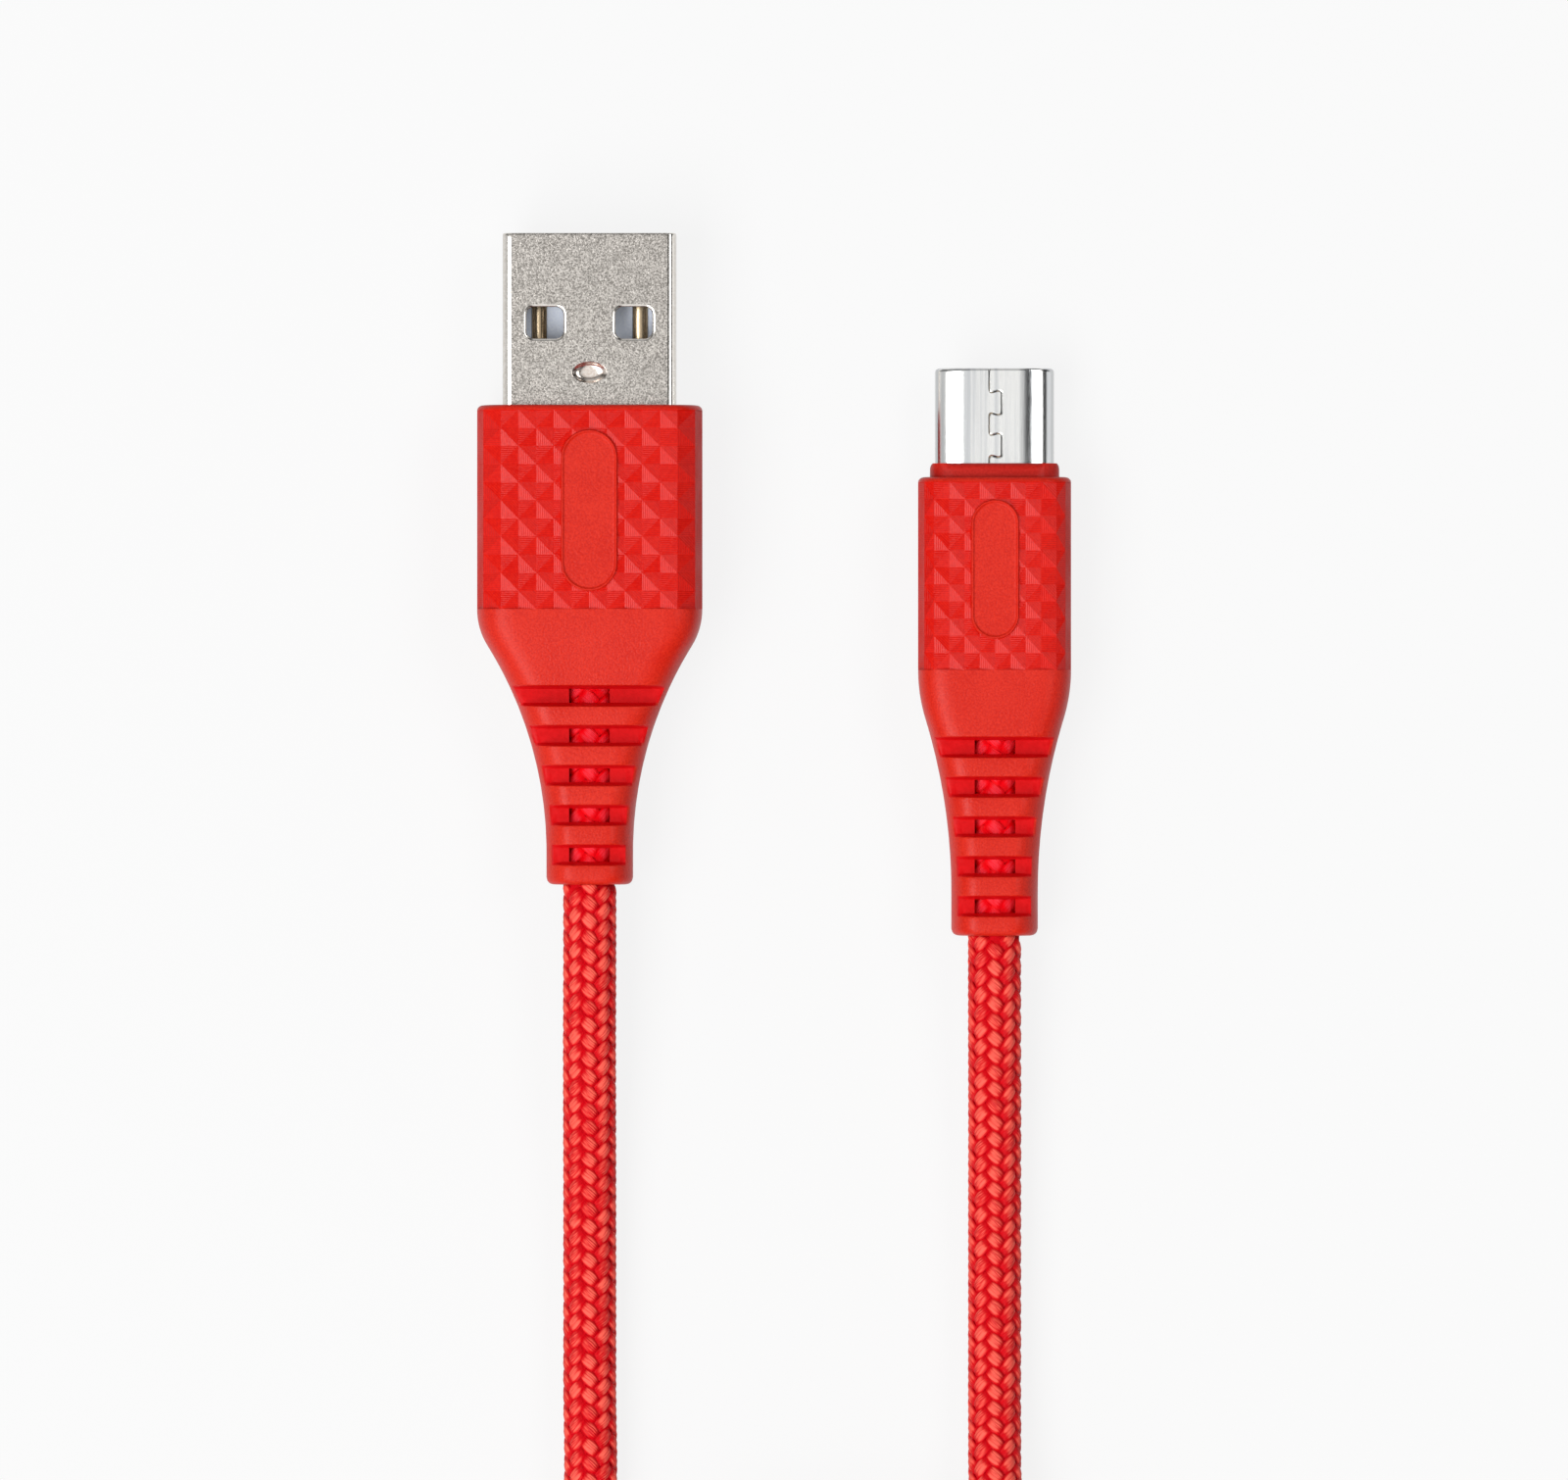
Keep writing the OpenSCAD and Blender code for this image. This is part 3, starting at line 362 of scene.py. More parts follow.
def grey(level: float) -> Colour:
    """Returns a grey for a shader."""
    return (level, level, level, 1.0)


@dataclass(frozen=True)
class Finish(ABC):
    """A surface finish between two shades that can make its material."""

    name: str
    low: Shade
    high: Shade

    @cache
    def material(self) -> bpy.types.Material:
        """Makes the finish's material on first use.

        Returns:
            The material.
        """
        made = bpy.data.materials.new(f"{self.name}_finish")
        made.use_nodes = True
        net = Net(made.node_tree)
        net.feed(made.node_tree.nodes["Principled BSDF"], self.shade(net))
        return made

    @abstractmethod
    def shade(self, net: Net) -> dict[str, Feed]:
        """Returns what the shader's sockets are fed with, by name."""

    def tint(self, net: Net, share: Feed) -> Value:
        """Returns a colour between the two shades."""
        return net.mixed(share, srgb(self.low), srgb(self.high))


@dataclass(frozen=True)
class Moulded(Finish):
    """Moulded plastic or elastomer with a fine spark-eroded grain."""

    roughness: float = 0.5
    pitch: float = 0.00016
    depth: float = 0.00001
    specular: float = 0.5
    hatched: bool = False
    # Dark red that the hatch grooves are darkened towards: painted shade in the grooves.
    groove_shade: Colour = (0.43, 0.002, 0.001, 1.0)

    def shade(self, net: Net) -> dict[str, Feed]:
        """Mixes two shades by grain and blotches, and adds the hatching where the piece carries it, with painted
        shade darkening its grooves.

        Args:
            net: the material's node helper.

        Returns:
            The feeds of the shader's sockets.
        """
        grain = net.group(fine_grain(), {"Pitch": self.pitch})
        tone = grain["Speckle"] * 0.75 + grain["Blotch"] * 0.25
        colour, height = self.tint(net, tone.ranged(0.36, 0.64, 0.0, 1.0)), grain["Height"]
        if self.hatched:
            place, weight, _ = net.split(net.get("ShaderNodeUVMap", uv_map="hatch"))
            cut = place.fold() * weight
            # The hatch grooves are darkened towards the groove colour: painted shade.
            colour, height = net.mixed(cut * 0.45, colour, self.groove_shade), height + cut * 1.5
        return {
            "Base Color": colour,
            "Roughness": grain["Blotch"].ranged(0.3, 0.7, self.roughness - 0.05, self.roughness + 0.06),
            "Specular IOR Level": self.specular,
            "Normal": net.bump(height, self.depth),
        }


@dataclass(frozen=True)
class Plated(Finish):
    """Bare or plated metal, satin with grain or drawn along the plug."""

    roughness: float
    pitch: float = 0.00022
    depth: float = 0.000012
    drawn: bool = False

    def shade(self, net: Net) -> dict[str, Feed]:
        """Sets a metal whose tone and gloss vary with its grain.

        Args:
            net: the material's node helper.

        Returns:
            The feeds of the shader's sockets.
        """
        if self.drawn:
            made = net.group(drawn_streaks(), {"Across": self.pitch})
            tone = made["Streak"]
        else:
            made = net.group(fine_grain(), {"Pitch": self.pitch})
            tone = made["Speckle"]
        return {
            "Metallic": 1.0,
            "Base Color": self.tint(net, tone.ranged(0.3, 0.7, 0.0, 1.0)),
            "Roughness": tone.ranged(0.25, 0.75, self.roughness * 0.8, self.roughness * 1.25),
            "Normal": net.bump(made["Height"], self.depth),
        }


@dataclass(frozen=True)
class Yarn(Finish):
    """Bundles of fine filaments that lie side by side in a strand."""

    roughness: float = 0.42
    depth: float = 0.00003
    filaments: float = 9.0
    specular: float = 0.5
    sheen: float = 0.15

    def shade(self, net: Net) -> dict[str, Feed]:
        """Mixes the strand's shades by its filaments and its own tone, with painted shade at its edges and ends and
        the high shade as a painted highlight.

        Args:
            net: the material's node helper.

        Returns:
            The feeds of the shader's sockets.
        """
        lines = net.group(filament_lines(), {"Filaments": self.filaments})
        tone = net.get("ShaderNodeAttribute", "Fac", attribute_name="tone")
        tone_and_painted_light = lines["Line"].ranged(0.3, 0.7, 0.1, 0.9) * 0.7 + tone * 0.25
        # Strand edges and ends fall towards the low shade: painted shade where strands dive under their neighbours.
        tone_and_painted_light = tone_and_painted_light * lines["Crown"].ranged(0.0, 0.42, 0.15, 1.0) * lines["Middle"].ranged(0.24, 0.77, 0.0, 1.25)
        return {
            "Base Color": self.tint(net, tone_and_painted_light.ranged(0.06, 0.86, 0.0, 1.0)),
            "Roughness": lines["Line"].ranged(0.3, 0.7, self.roughness - 0.08, self.roughness + 0.1),
            "Specular IOR Level": self.specular,
            "Sheen Weight": self.sheen,
            "Sheen Roughness": 0.4,
            "Sheen Tint": (1.0, 0.45, 0.35, 1.0),
            "Normal": net.bump(lines["Height"], self.depth),
        }


ELASTOMER = Moulded("red_elastomer", (198, 23, 5), (216, 39, 17), 0.4, 0.00013, 0.00002, 0.24)
GRIP = Moulded("red_elastomer_grip", (209, 12, 2), (223, 26, 8), 0.3, 0.0002, 0.000006, 0.22, hatched=True)
GRIP_SIDE = Moulded("red_elastomer_side", (206, 22, 8), (218, 34, 18), 0.45, 0.0002, 0.000006, 0.04, hatched=True)
# Darker, deeper red for the slot floors: painted shade of the recess.
SLOT_SHADE = Moulded("red_elastomer_slot_shade", (202, 6, 12), (211, 14, 20), 0.36, 0.0003, 0.000006, 0.1)
# The collar's own red, made darker than the grip's to carry the painted shade of its recess.
COLLAR = Moulded("collar_red", (182, 24, 14), (197, 36, 26), 0.4, specular=0.17)
# The high shade is a painted highlight; the low shade is painted shade at strand ends and edges, with filament tone
# between.
YARN = Yarn("red_yarn", (210, 0, 17), (255, 100, 84), filaments=6.0, specular=0.14, sheen=0.0)
# Deep crimson core that fills the gaps between strands: painted shade of the strands diving under.
SHADED_CORE = Moulded("cord_core", (190, 0, 14), (208, 2, 20), 0.8, specular=0.1)
# Brighter copies of yarn and core for the braid inside the boot: painted light that offsets the shade in the slots'
# windows.
PAINTED_LIT_YARN = Yarn("red_yarn_painted_lit_in_boot", (255, 0, 18), (255, 56, 72), specular=0.15, sheen=0.0)
PAINTED_LIT_CORE = Moulded("cord_core_painted_lit_in_boot", (248, 0, 18), (255, 10, 30), 0.8, specular=0.05)
NICKEL = Plated("satin_nickel", (140, 135, 129), (228, 222, 215), 0.26, 0.0001, 0.000009)
# Paler, glossier nickel for the rounded edges and rims; its paler tone is a painted highlight.
NICKEL_HIGHLIGHT = Plated("nickel_painted_highlight", (228, 222, 214), (242, 238, 232), 0.13, 0.0003, 0.000002)
# Warmer, paler nickel for the pressed dimple: painted highlight and warm reflection.
DISH_HIGHLIGHT = Plated("dimple_nickel_painted_highlight", (226, 210, 198), (242, 234, 226), 0.2, 0.0002, 0.000003)
STEEL = Plated("drawn_steel", (212, 214, 216), (248, 248, 246), 0.16, 0.00006, 0.000003, drawn=True)
GOLD = Plated("gold_contact", (172, 150, 120), (208, 188, 158), 0.2, 0.00008, 0.000002, drawn=True)
COPPER = Plated("bare_copper", (184, 110, 66), (216, 140, 92), 0.3, 0.00005, 0.000004, drawn=True)
PALE = Moulded("pale_insulator", (226, 234, 250), (236, 243, 255), 0.4)
DARK = Moulded("dark_insulator", (22, 22, 24), (34, 34, 37), 0.42)
MOULD = Moulded("inner_mould_pale", (206, 204, 196), (222, 220, 212), 0.55)
BOARD = Moulded("board_green", (20, 84, 44), (30, 104, 56), 0.34, 0.0006)
RESISTOR = Moulded("resistor_black", (24, 24, 26), (38, 38, 42))
STRAP = Yarn("tie_webbing", (20, 20, 22), (52, 52, 56), 0.7, 0.00006, 14.0)
CORE_PARTS = {
    "jacket_end": Moulded("jacket_black", (26, 26, 28), (38, 38, 40), 0.6),
    "wire_red": Moulded("wire_red", (190, 22, 22), (206, 34, 30), 0.4),
    "wire_white": Moulded("wire_white", (226, 226, 224), (238, 238, 236), 0.4),
    "wire_green": Moulded("wire_green", (20, 138, 58), (34, 154, 70), 0.4),
    "wire_black": Moulded("wire_black", (22, 22, 24), (34, 34, 36), 0.4),
}


# ---------------------------------------------------------------------------------------------
# Meshes


class Shape:
    """Gathers vertices and faces of one mesh, in metres."""

    def __init__(self) -> None:
        """Starts empty."""
        self.points: list[Point] = []
        self.faces: list[tuple[int, ...]] = []
        self.flat: list[bool] = []
        self.finish: list[int] = []
        self.maps: list[Pairs] = []

    def add_points(self, points: Sequence[Sequence[float]]) -> list[int]:
        """Adds points and returns their numbers."""
        self.points.extend(tuple(float(c) for c in p) for p in points)
        return list(range(len(self.points) - len(points), len(self.points)))

    def add_upright(self, outline: np.ndarray, y: float, at: Point) -> list[int]:
        """Adds rows of x and z at a distance along a plug from a place, in millimetres."""
        return self.add_points((np.insert(outline, 1, y, axis=1) + np.array(at)) * MM)

    def add_level(self, outline: np.ndarray, z: float, at: Point) -> list[int]:
        """Adds rows of x and y at a height over a place, in millimetres."""
        return self.add_points((np.insert(outline, 2, z, axis=1) + np.array(at)) * MM)

    def add_face(self, corners: Sequence[int], flat: bool = False, finish: int = 0, hatch: Pairs = ()) -> None:
        """Adds one face.

        Args:
            corners: the numbers of its points.
            flat: whether it is shaded flat.
            finish: number of its material slot.
            hatch: its places in the hatching map, one for each corner.
        """
        self.faces.append(tuple(corners))
        self.flat.append(flat)
        self.finish.append(finish)
        self.maps.append(tuple(hatch) or ((0.0, 0.0),) * len(corners))

    def add_rings(
        self,
        rings: Sequence[Sequence[int]],
        close: bool = False,
        skip: set[tuple[int, int]] = frozenset(),
        flat: set[int] = frozenset(),
        wrap: bool = True,
        finishes: dict[tuple[int, int], int] | None = None,
    ) -> None:
        """Adds quads between rings of points.

        Args:
            rings: rings with the same number of points.
            close: whether the last ring joins the first.
            skip: ring and column numbers of quads that are left out.
            flat: numbers of the columns that are shaded flat.
            wrap: whether each ring's last point joins its first.
            finishes: material slot by ring and column number, where it isn't the first.
        """
        count = len(rings[0])
        for i in range(len(rings) - (0 if close else 1)):
            lower, upper = rings[i], rings[(i + 1) % len(rings)]
            for k in range(count if wrap else count - 1):
                if (i, k) not in skip:
                    n = (k + 1) % count
                    finish = (finishes or {}).get((i, k), 0)
                    self.add_face((lower[k], lower[n], upper[n], upper[k]), k in flat, finish)

    def mesh(self, name: str, mapped: bool = False) -> bpy.types.Mesh:
        """Makes the mesh with outward normals.

        Args:
            name: the mesh's name.
            mapped: whether the hatching map is kept.

        Returns:
            The mesh.
        """
        mesh = bpy.data.meshes.new(name)
        mesh.from_pydata(self.points, [], self.faces)
        mesh.polygons.foreach_set("use_smooth", [not f for f in self.flat])
        mesh.polygons.foreach_set("material_index", self.finish)
        if mapped:
            layer = mesh.uv_layers.new(name="hatch")
            layer.data.foreach_set("uv", [c for face in self.maps for place in face for c in place])
        work = bmesh.new()
        work.from_mesh(mesh)
        bmesh.ops.recalc_face_normals(work, faces=work.faces)
        work.to_mesh(mesh)
        work.free()
        return mesh


def add_object(name: str, data: bpy.types.ID) -> bpy.types.Object:
    """Adds an object to the scene.

    Args:
        name: the object's name.
        data: its mesh, lamp or camera.

    Returns:
        The object.
    """
    made = bpy.data.objects.new(name, data)
    bpy.context.scene.collection.objects.link(made)
    return made


def place_piece(
    name: str, mesh: bpy.types.Mesh, finishes: Sequence[bpy.types.Material], sharp: float = 32.0
) -> bpy.types.Object:
    """Puts a mesh into the scene as a piece.

    Args:
        name: the piece's name.
        mesh: its mesh, in the shared frame.
        finishes: its materials in slot order.
        sharp: angle in degrees past which an edge is shaded sharp.

    Returns:
        The piece.
    """
    for finish in finishes:
        mesh.materials.append(finish)
    smooth = np.ones(len(mesh.polygons), dtype=bool)
    mesh.polygons.foreach_get("use_smooth", smooth)
    mesh.set_sharp_from_angle(angle=math.radians(sharp))
    mesh.polygons.foreach_set("use_smooth", smooth)
    return add_object(name, mesh)


def declare(piece: bpy.types.Object, slot: str, *nodes: str) -> bpy.types.Object:
    """Hides the nodes that a piece stands for, and reports the piece.

    Args:
        piece: the piece, which already rides on its body.
        slot: not used.
        nodes: names of the nodes that it replaces.

    Returns:
        The piece.
    """
    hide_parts(*nodes)
    LOG.info("%s, %d faces", piece.name, len(piece.data.polygons))
    return piece


def refined_copy(node: bpy.types.Object, axis: Point, cuts: Sequence[float]) -> bmesh.types.BMesh:
    """Copies a node's mesh with its doubles merged, cut into more rings and shaded smooth.

    Args:
        node: the frame's node.
        axis: direction that the cuts are square to.
        cuts: distances along it, in metres.

    Returns:
        The copy as an open mesh.
    """
    work = bmesh.new()
    work.from_mesh(node.data)
    bmesh.ops.remove_doubles(work, verts=work.verts, dist=2e-6)
    cut_across(work, axis, cuts)
    for face in work.faces:
        face.smooth = True
    return work


def cut_across(work: bmesh.types.BMesh, axis: Point, cuts: Sequence[float]) -> None:
    """Cuts an open mesh square to an axis.

    Args:
        work: the open mesh.
        axis: direction that the cuts are square to.
        cuts: distances along it, in metres.
    """
    for cut in cuts:
        geometry = work.verts[:] + work.edges[:] + work.faces[:]
        place = tuple(cut * part for part in axis)
        bmesh.ops.bisect_plane(work, geom=geometry, dist=1e-7, plane_co=place, plane_no=axis)


def place_copy(work: bmesh.types.BMesh, name: str, finish: bpy.types.Material) -> bpy.types.Object:
    """Puts an open mesh into the scene as a piece.

    Args:
        work: the open mesh, which is freed.
        name: the piece's name.
        finish: its material.

    Returns:
        The piece.
    """
    mesh = bpy.data.meshes.new(name)
    work.to_mesh(mesh)
    work.free()
    return place_piece(name, mesh, [finish], COPY_SHARP)


def quarter(half_w: float, half_h: float, side: float, power: float = 2.0, steps: int = 48) -> np.ndarray:
    """Returns an upper right quarter outline with a flat top and a rounded side.

    Args:
        half_w: half its width.
        half_h: half its height.
        side: depth of the rounded side.
        power: 2 for an elliptical side, more for a squarer one.
        steps: steps round the side.

    Returns:
        Rows of x and z from the middle of the top to the middle of the side.
    """
    turn = np.linspace(np.pi / 2, 0, steps + 1)
    bulge = 2 / power
    arc = np.column_stack([half_w - side + side * np.cos(turn).clip(0) ** bulge, half_h * np.sin(turn) ** bulge])
    return np.vstack([[[0.0, half_h]], arc])


def rounded_quarter(width: float, height: float, radius: float, steps: int = 16) -> np.ndarray:
    """Returns an upper right quarter of a rectangle with round corners.

    Args:
        width: the rectangle's width.
        height: its height.
        radius: radius of its corners.
        steps: steps round a corner.

    Returns:
        Rows of x and z from the middle of the top to the middle of the side.
    """
    half_w, half_h = width / 2, height / 2
    turn = np.linspace(np.pi / 2, 0, steps + 1)
    arc = np.column_stack([half_w - radius + radius * np.cos(turn), half_h - radius + radius * np.sin(turn)])
    return np.vstack([[[0.0, half_h]], arc, [[half_w, 0.0]]])


def run_along(line: np.ndarray, power: float = 1.0) -> np.ndarray:
    """Returns the length of a line up to each of its points, with each step raised to a power."""
    return np.concatenate([[0], np.cumsum(np.linalg.norm(np.diff(line, axis=0), axis=1) ** power)])


def spread(line: np.ndarray, steps: int) -> np.ndarray:
    """Returns points at even steps along a line.

    Args:
        line: rows of x and z.
        steps: number of steps.

    Returns:
        Rows of x and z.
    """
    run = run_along(line)
    at = np.linspace(0, 1, steps + 1) * run[-1]
    return np.column_stack([np.interp(at, run, part) for part in line.T])


def all_round(corner: np.ndarray) -> np.ndarray:
    """Returns a whole outline, from the right side over the top, from its upper right quarter."""
    up = corner[::-1]
    return np.vstack([up, corner[1:] * [-1, 1], up[1:] * [-1, -1], corner[1:-1] * [1, -1]])


def rounding(distance: float, radius: float) -> float:
    """Returns how far a rounded edge stands back from its face."""
    return 0.0 if distance >= radius else radius - math.sqrt(radius * radius - (radius - distance) ** 2)


# ---------------------------------------------------------------------------------------------
# Cord


@dataclass(frozen=True)
class Braid:
    """Sizes of the braid round the cord, in metres, and its geometry node tree."""

    columns: int = 10
    period: float = 1.18 * MM
    strand_width: float = 1.0 * MM
    strand_length: float = 1.86 * MM
    strand_angle: float = math.radians(49)
    crest: float = 1.9 * MM
    root: float = 1.5 * MM
    core: float = 1.71 * MM
    first_column: float = math.radians(18)
    seed: int = 7
    fine_grid: tuple[int, int] = (9, 6)
    plain_grid: tuple[int, int] = (5, 3)
    core_step: float = 2.2 * MM
    core_sides: int = 8
    tree_name: str = "braid_along_path"

    def sizes(self) -> dict[str, float]:
        """Returns the sizes that the tree takes, by the name of its input."""
        return {
            "Period": self.period,
            "Strand Width": self.strand_width,
            "Strand Length": self.strand_length,
            "Strand Angle": self.strand_angle,
            "Crest Radius": self.crest,
            "Root Radius": self.root,
            "Core Radius": self.core,
            "First Column": self.first_column,
        }

    def tree(self) -> bpy.types.NodeTree:
        """Returns the node tree that lays strands of yarn along a path, made on first use.

        Returns:
            The tree.
        """
        if self.tree_name in bpy.data.node_groups:
            return bpy.data.node_groups[self.tree_name]
        tree = bpy.data.node_groups.new(self.tree_name, "GeometryNodeTree")
        kinds = {"Path": "Geometry", "Columns": "Int", "Seed": "Int", **dict.fromkeys(self.sizes(), "Float")}
        kinds |= {"Fine Length": "Float", "Yarn": "Material", "Core": "Material"}
        for label, kind in kinds.items():
            tree.interface.new_socket(label, in_out="INPUT", socket_type=f"NodeSocket{kind}")
        tree.interface.new_socket("Braid", in_out="OUTPUT", socket_type="NodeSocketGeometry")
        net = Net(tree)
        given = net.outs(net.add("NodeGroupInput"))
        curve = net.add("GeometryNodeMeshToCurve", {0: given["Path"]})
        curve = net.add("GeometryNodeSetCurveNormal", {0: curve}, mode="Z_UP")
        strands = self._wrapped(net, given, curve, self._strands(net, self._points(net, given, curve)))
        whole = net.add("GeometryNodeRealizeInstances", {0: net.join(self._core(net, given, curve), strands)})
        whole = net.add("GeometryNodeSetMaterial", {"Geometry": whole, "Material": given["Yarn"]})
        inside = net.math("LESS_THAN", net.named("tone"), 0.0)
        dressed = {"Geometry": whole, "Selection": inside, "Material": given["Core"]}
        net.add("NodeGroupOutput", {0: net.add("GeometryNodeSetMaterial", dressed)})
        return tree

    @staticmethod
    def _points(net: Net, given: dict[str, Value], curve: bpy.types.Node) -> bpy.types.Node:
        """Adds one point for each strand.

        Args:
            net: the tree's node helper.
            given: the tree's inputs.
            curve: the cord's line.

        Returns:
            The points, each with its place along and round the cord, its tone and whether it is fine.
        """
        length = net.get("GeometryNodeCurveLength", 0, {0: curve})
        rings = net.math("FLOOR", length / given["Period"])
        index = net.get("GeometryNodeInputIndex")
        column = index % given["Columns"]
        ring = net.math("FLOOR", index / given["Columns"])
        odd = column % 2.0
        pair = net.math("FLOOR", column / 2.0)
        along = (ring + net.math("FRACT", odd * 0.5 + pair * 0.2)) * (length / rings)
        angle = column * (2 * math.pi / given["Columns"]) + given["First Column"]
        tone = net.get("FunctionNodeRandomValue", 1, {"ID": index, "Seed": given["Seed"]}, data_type="FLOAT")
        near_start = net.math("LESS_THAN", along, given["Fine Length"])
        near_end = net.math("GREATER_THAN", along, length - given["Fine Length"])
        points = net.add("GeometryNodePoints", {"Count": rings * given["Columns"]})
        points = net.store(points, "place", net.joined(along, angle, 1.0 - odd * 2.0), "FLOAT_VECTOR")
        return net.store(net.store(points, "tone", tone), "fine", net.math("MAXIMUM", near_start, near_end))

    def _strands(self, net: Net, points: bpy.types.Node) -> bpy.types.Node:
        """Lays a flat strip on each point, fine near the plugs and plain in the coil.

        Args:
            net: the tree's node helper.
            points: one point for each strand.

        Returns:
            The strips.
        """
        fine = net.named("fine")
        laid = []
        for (along, across), chosen in ((self.fine_grid, fine), (self.plain_grid, 1.0 - fine)):
            sizes = {"Size X": 1.0, "Size Y": 1.0, "Vertices X": along, "Vertices Y": across}
            strip = net.add("GeometryNodeMeshGrid", sizes)
            mapped = net.store(strip, "yarn", strip.outputs["UV Map"], "FLOAT2", "CORNER")
            chosen_points = {"Points": points, "Selection": chosen, "Instance": mapped}
            laid.append(net.add("GeometryNodeInstanceOnPoints", chosen_points))
        return net.add("GeometryNodeRealizeInstances", {0: net.join(*laid)})

    @staticmethod
    def _wrapped(
        net: Net, given: dict[str, Value], curve: bpy.types.Node, strands: bpy.types.Node
    ) -> bpy.types.Node:
        """Bends the strips round the cord as crowned strands that dive at both ends.

        Args:
            net: the tree's node helper.
            given: the tree's inputs.
            curve: the cord's line.
            strands: the flat strips.

        Returns:
            The strands.
        """
        x, y, _ = net.split(net.add("GeometryNodeInputPosition"))
        along, angle, lean = net.split(net.named("place", "FLOAT_VECTOR"))
        reach, aside = net.math("ABSOLUTE", x * 2.0), y * 2.0
        ahead = x * given["Strand Length"]
        side = y * given["Strand Width"] * (1.0 - reach**2.0 * 0.3)
        sine, cosine = (net.math(kind, given["Strand Angle"]) for kind in ("SINE", "COSINE"))
        round_shift = lean * (ahead * sine) - side * cosine
        along_shift = ahead * cosine + lean * (side * sine)
        crown = net.math("SQRT", 1.0 - aside**2.0 * 0.94)
        lift = (1.0 - reach**3.0) * (crown * 0.78 + 0.22)
        radius = given["Root Radius"] + (given["Crest Radius"] - given["Root Radius"]) * lift
        turn = angle + round_shift / given["Crest Radius"]
        where = {"Curves": curve, "Length": along + along_shift}
        spot = net.outs(net.add("GeometryNodeSampleCurve", where, mode="LENGTH"))
        level = net.scaled(spot["Normal"], net.math("COSINE", turn))
        above = net.scaled(net.vector("CROSS_PRODUCT", spot["Tangent"], spot["Normal"]), net.math("SINE", turn))
        outward = net.scaled(net.vector("ADD", level, above), radius)
        place = net.vector("ADD", spot["Position"], outward)
        bent = net.add("GeometryNodeSetPosition", {"Geometry": strands, "Position": place})
        for label in ("place", "fine"):
            bent = net.add("GeometryNodeRemoveAttribute", {"Geometry": bent, "Name": label})
        return net.add("GeometryNodeSetShadeSmooth", {"Geometry": bent})

    def _core(self, net: Net, given: dict[str, Value], curve: bpy.types.Node) -> bpy.types.Node:
        """Adds the core that shows between the strands, marked by a tone below 0.

        Args:
            net: the tree's node helper.
            given: the tree's inputs.
            curve: the cord's line.

        Returns:
            The core.
        """
        even = net.add("GeometryNodeResampleCurve", {"Curve": curve, "Length": self.core_step}, mode="LENGTH")
        size = {"Resolution": self.core_sides, "Radius": given["Core Radius"]}
        outline = net.add("GeometryNodeCurvePrimitiveCircle", size)
        tube = net.add("GeometryNodeCurveToMesh", {"Curve": even, "Profile Curve": outline, "Fill Caps": True})
        return net.store(net.add("GeometryNodeSetShadeSmooth", {"Geometry": tube}), "tone", -1.0)

    def along(
        self, name: str, path: np.ndarray, fine: float, yarn: bpy.types.Material, core: bpy.types.Material
    ) -> bpy.types.Object:
        """Builds a braid along a path.

        Args:
            name: the piece's name.
            path: points of the path, in metres.
            fine: length at each end whose strands are fine, in metres.
            yarn: material of the strands.
            core: material of the core.

        Returns:
            The braid as a piece with a plain mesh.
        """
        line = bpy.data.meshes.new(name)
        line.from_pydata([tuple(p) for p in path], [(i, i + 1) for i in range(len(path) - 1)], [])
        piece = add_object(name, line)
        modifier = piece.modifiers.new("braid", "NODES")
        modifier.node_group = self.tree()
        values = {"Columns": self.columns, "Seed": self.seed, **self.sizes()}
        values |= {"Fine Length": fine, "Yarn": yarn, "Core": core}
        for socket in modifier.node_group.interface.items_tree:
            if socket.name in values:
                modifier[socket.identifier] = values[socket.name]
        graph = bpy.context.evaluated_depsgraph_get()
        made = bpy.data.meshes.new_from_object(
            piece.evaluated_get(graph), preserve_all_data_layers=True, depsgraph=graph
        )
        piece.modifiers.clear()
        piece.data = made
        bpy.data.meshes.remove(line)
        made.name = name
        return piece


def smooth_route(points: np.ndarray, step: float, steps: int = 24) -> np.ndarray:
    """Returns a smooth line through points at even steps.

    Args:
        points: points that the line passes through.
        step: distance between two points of the line.
        steps: steps between two of the given points while it is drawn.

    Returns:
        Points of the line.
    """
    padded = np.vstack([2 * points[0] - points[1], points, 2 * points[-1] - points[-2]])
    knots = run_along(padded, 0.5)
    pieces = []
    for i in range(1, len(padded) - 2):
        k0, k1, k2, k3 = knots[i - 1 : i + 3]
        p0, p1, p2, p3 = padded[i - 1 : i + 3]
        t = np.linspace(k1, k2, steps, endpoint=False)[:, None]
        a1 = ((k1 - t) * p0 + (t - k0) * p1) / (k1 - k0)
        a2 = ((k2 - t) * p1 + (t - k1) * p2) / (k2 - k1)
        a3 = ((k3 - t) * p2 + (t - k2) * p3) / (k3 - k2)
        b1 = ((k2 - t) * a1 + (t - k0) * a2) / (k2 - k0)
        b2 = ((k3 - t) * a2 + (t - k1) * a3) / (k3 - k1)
        pieces.append(((k2 - t) * b1 + (t - k1) * b2) / (k2 - k1))
    dense = np.vstack(pieces + [points[-1:]])
    run = run_along(dense)
    at = np.linspace(0, run[-1], int(round(run[-1] / step)) + 1)
    return np.column_stack([np.interp(at, run, part) for part in dense.T])


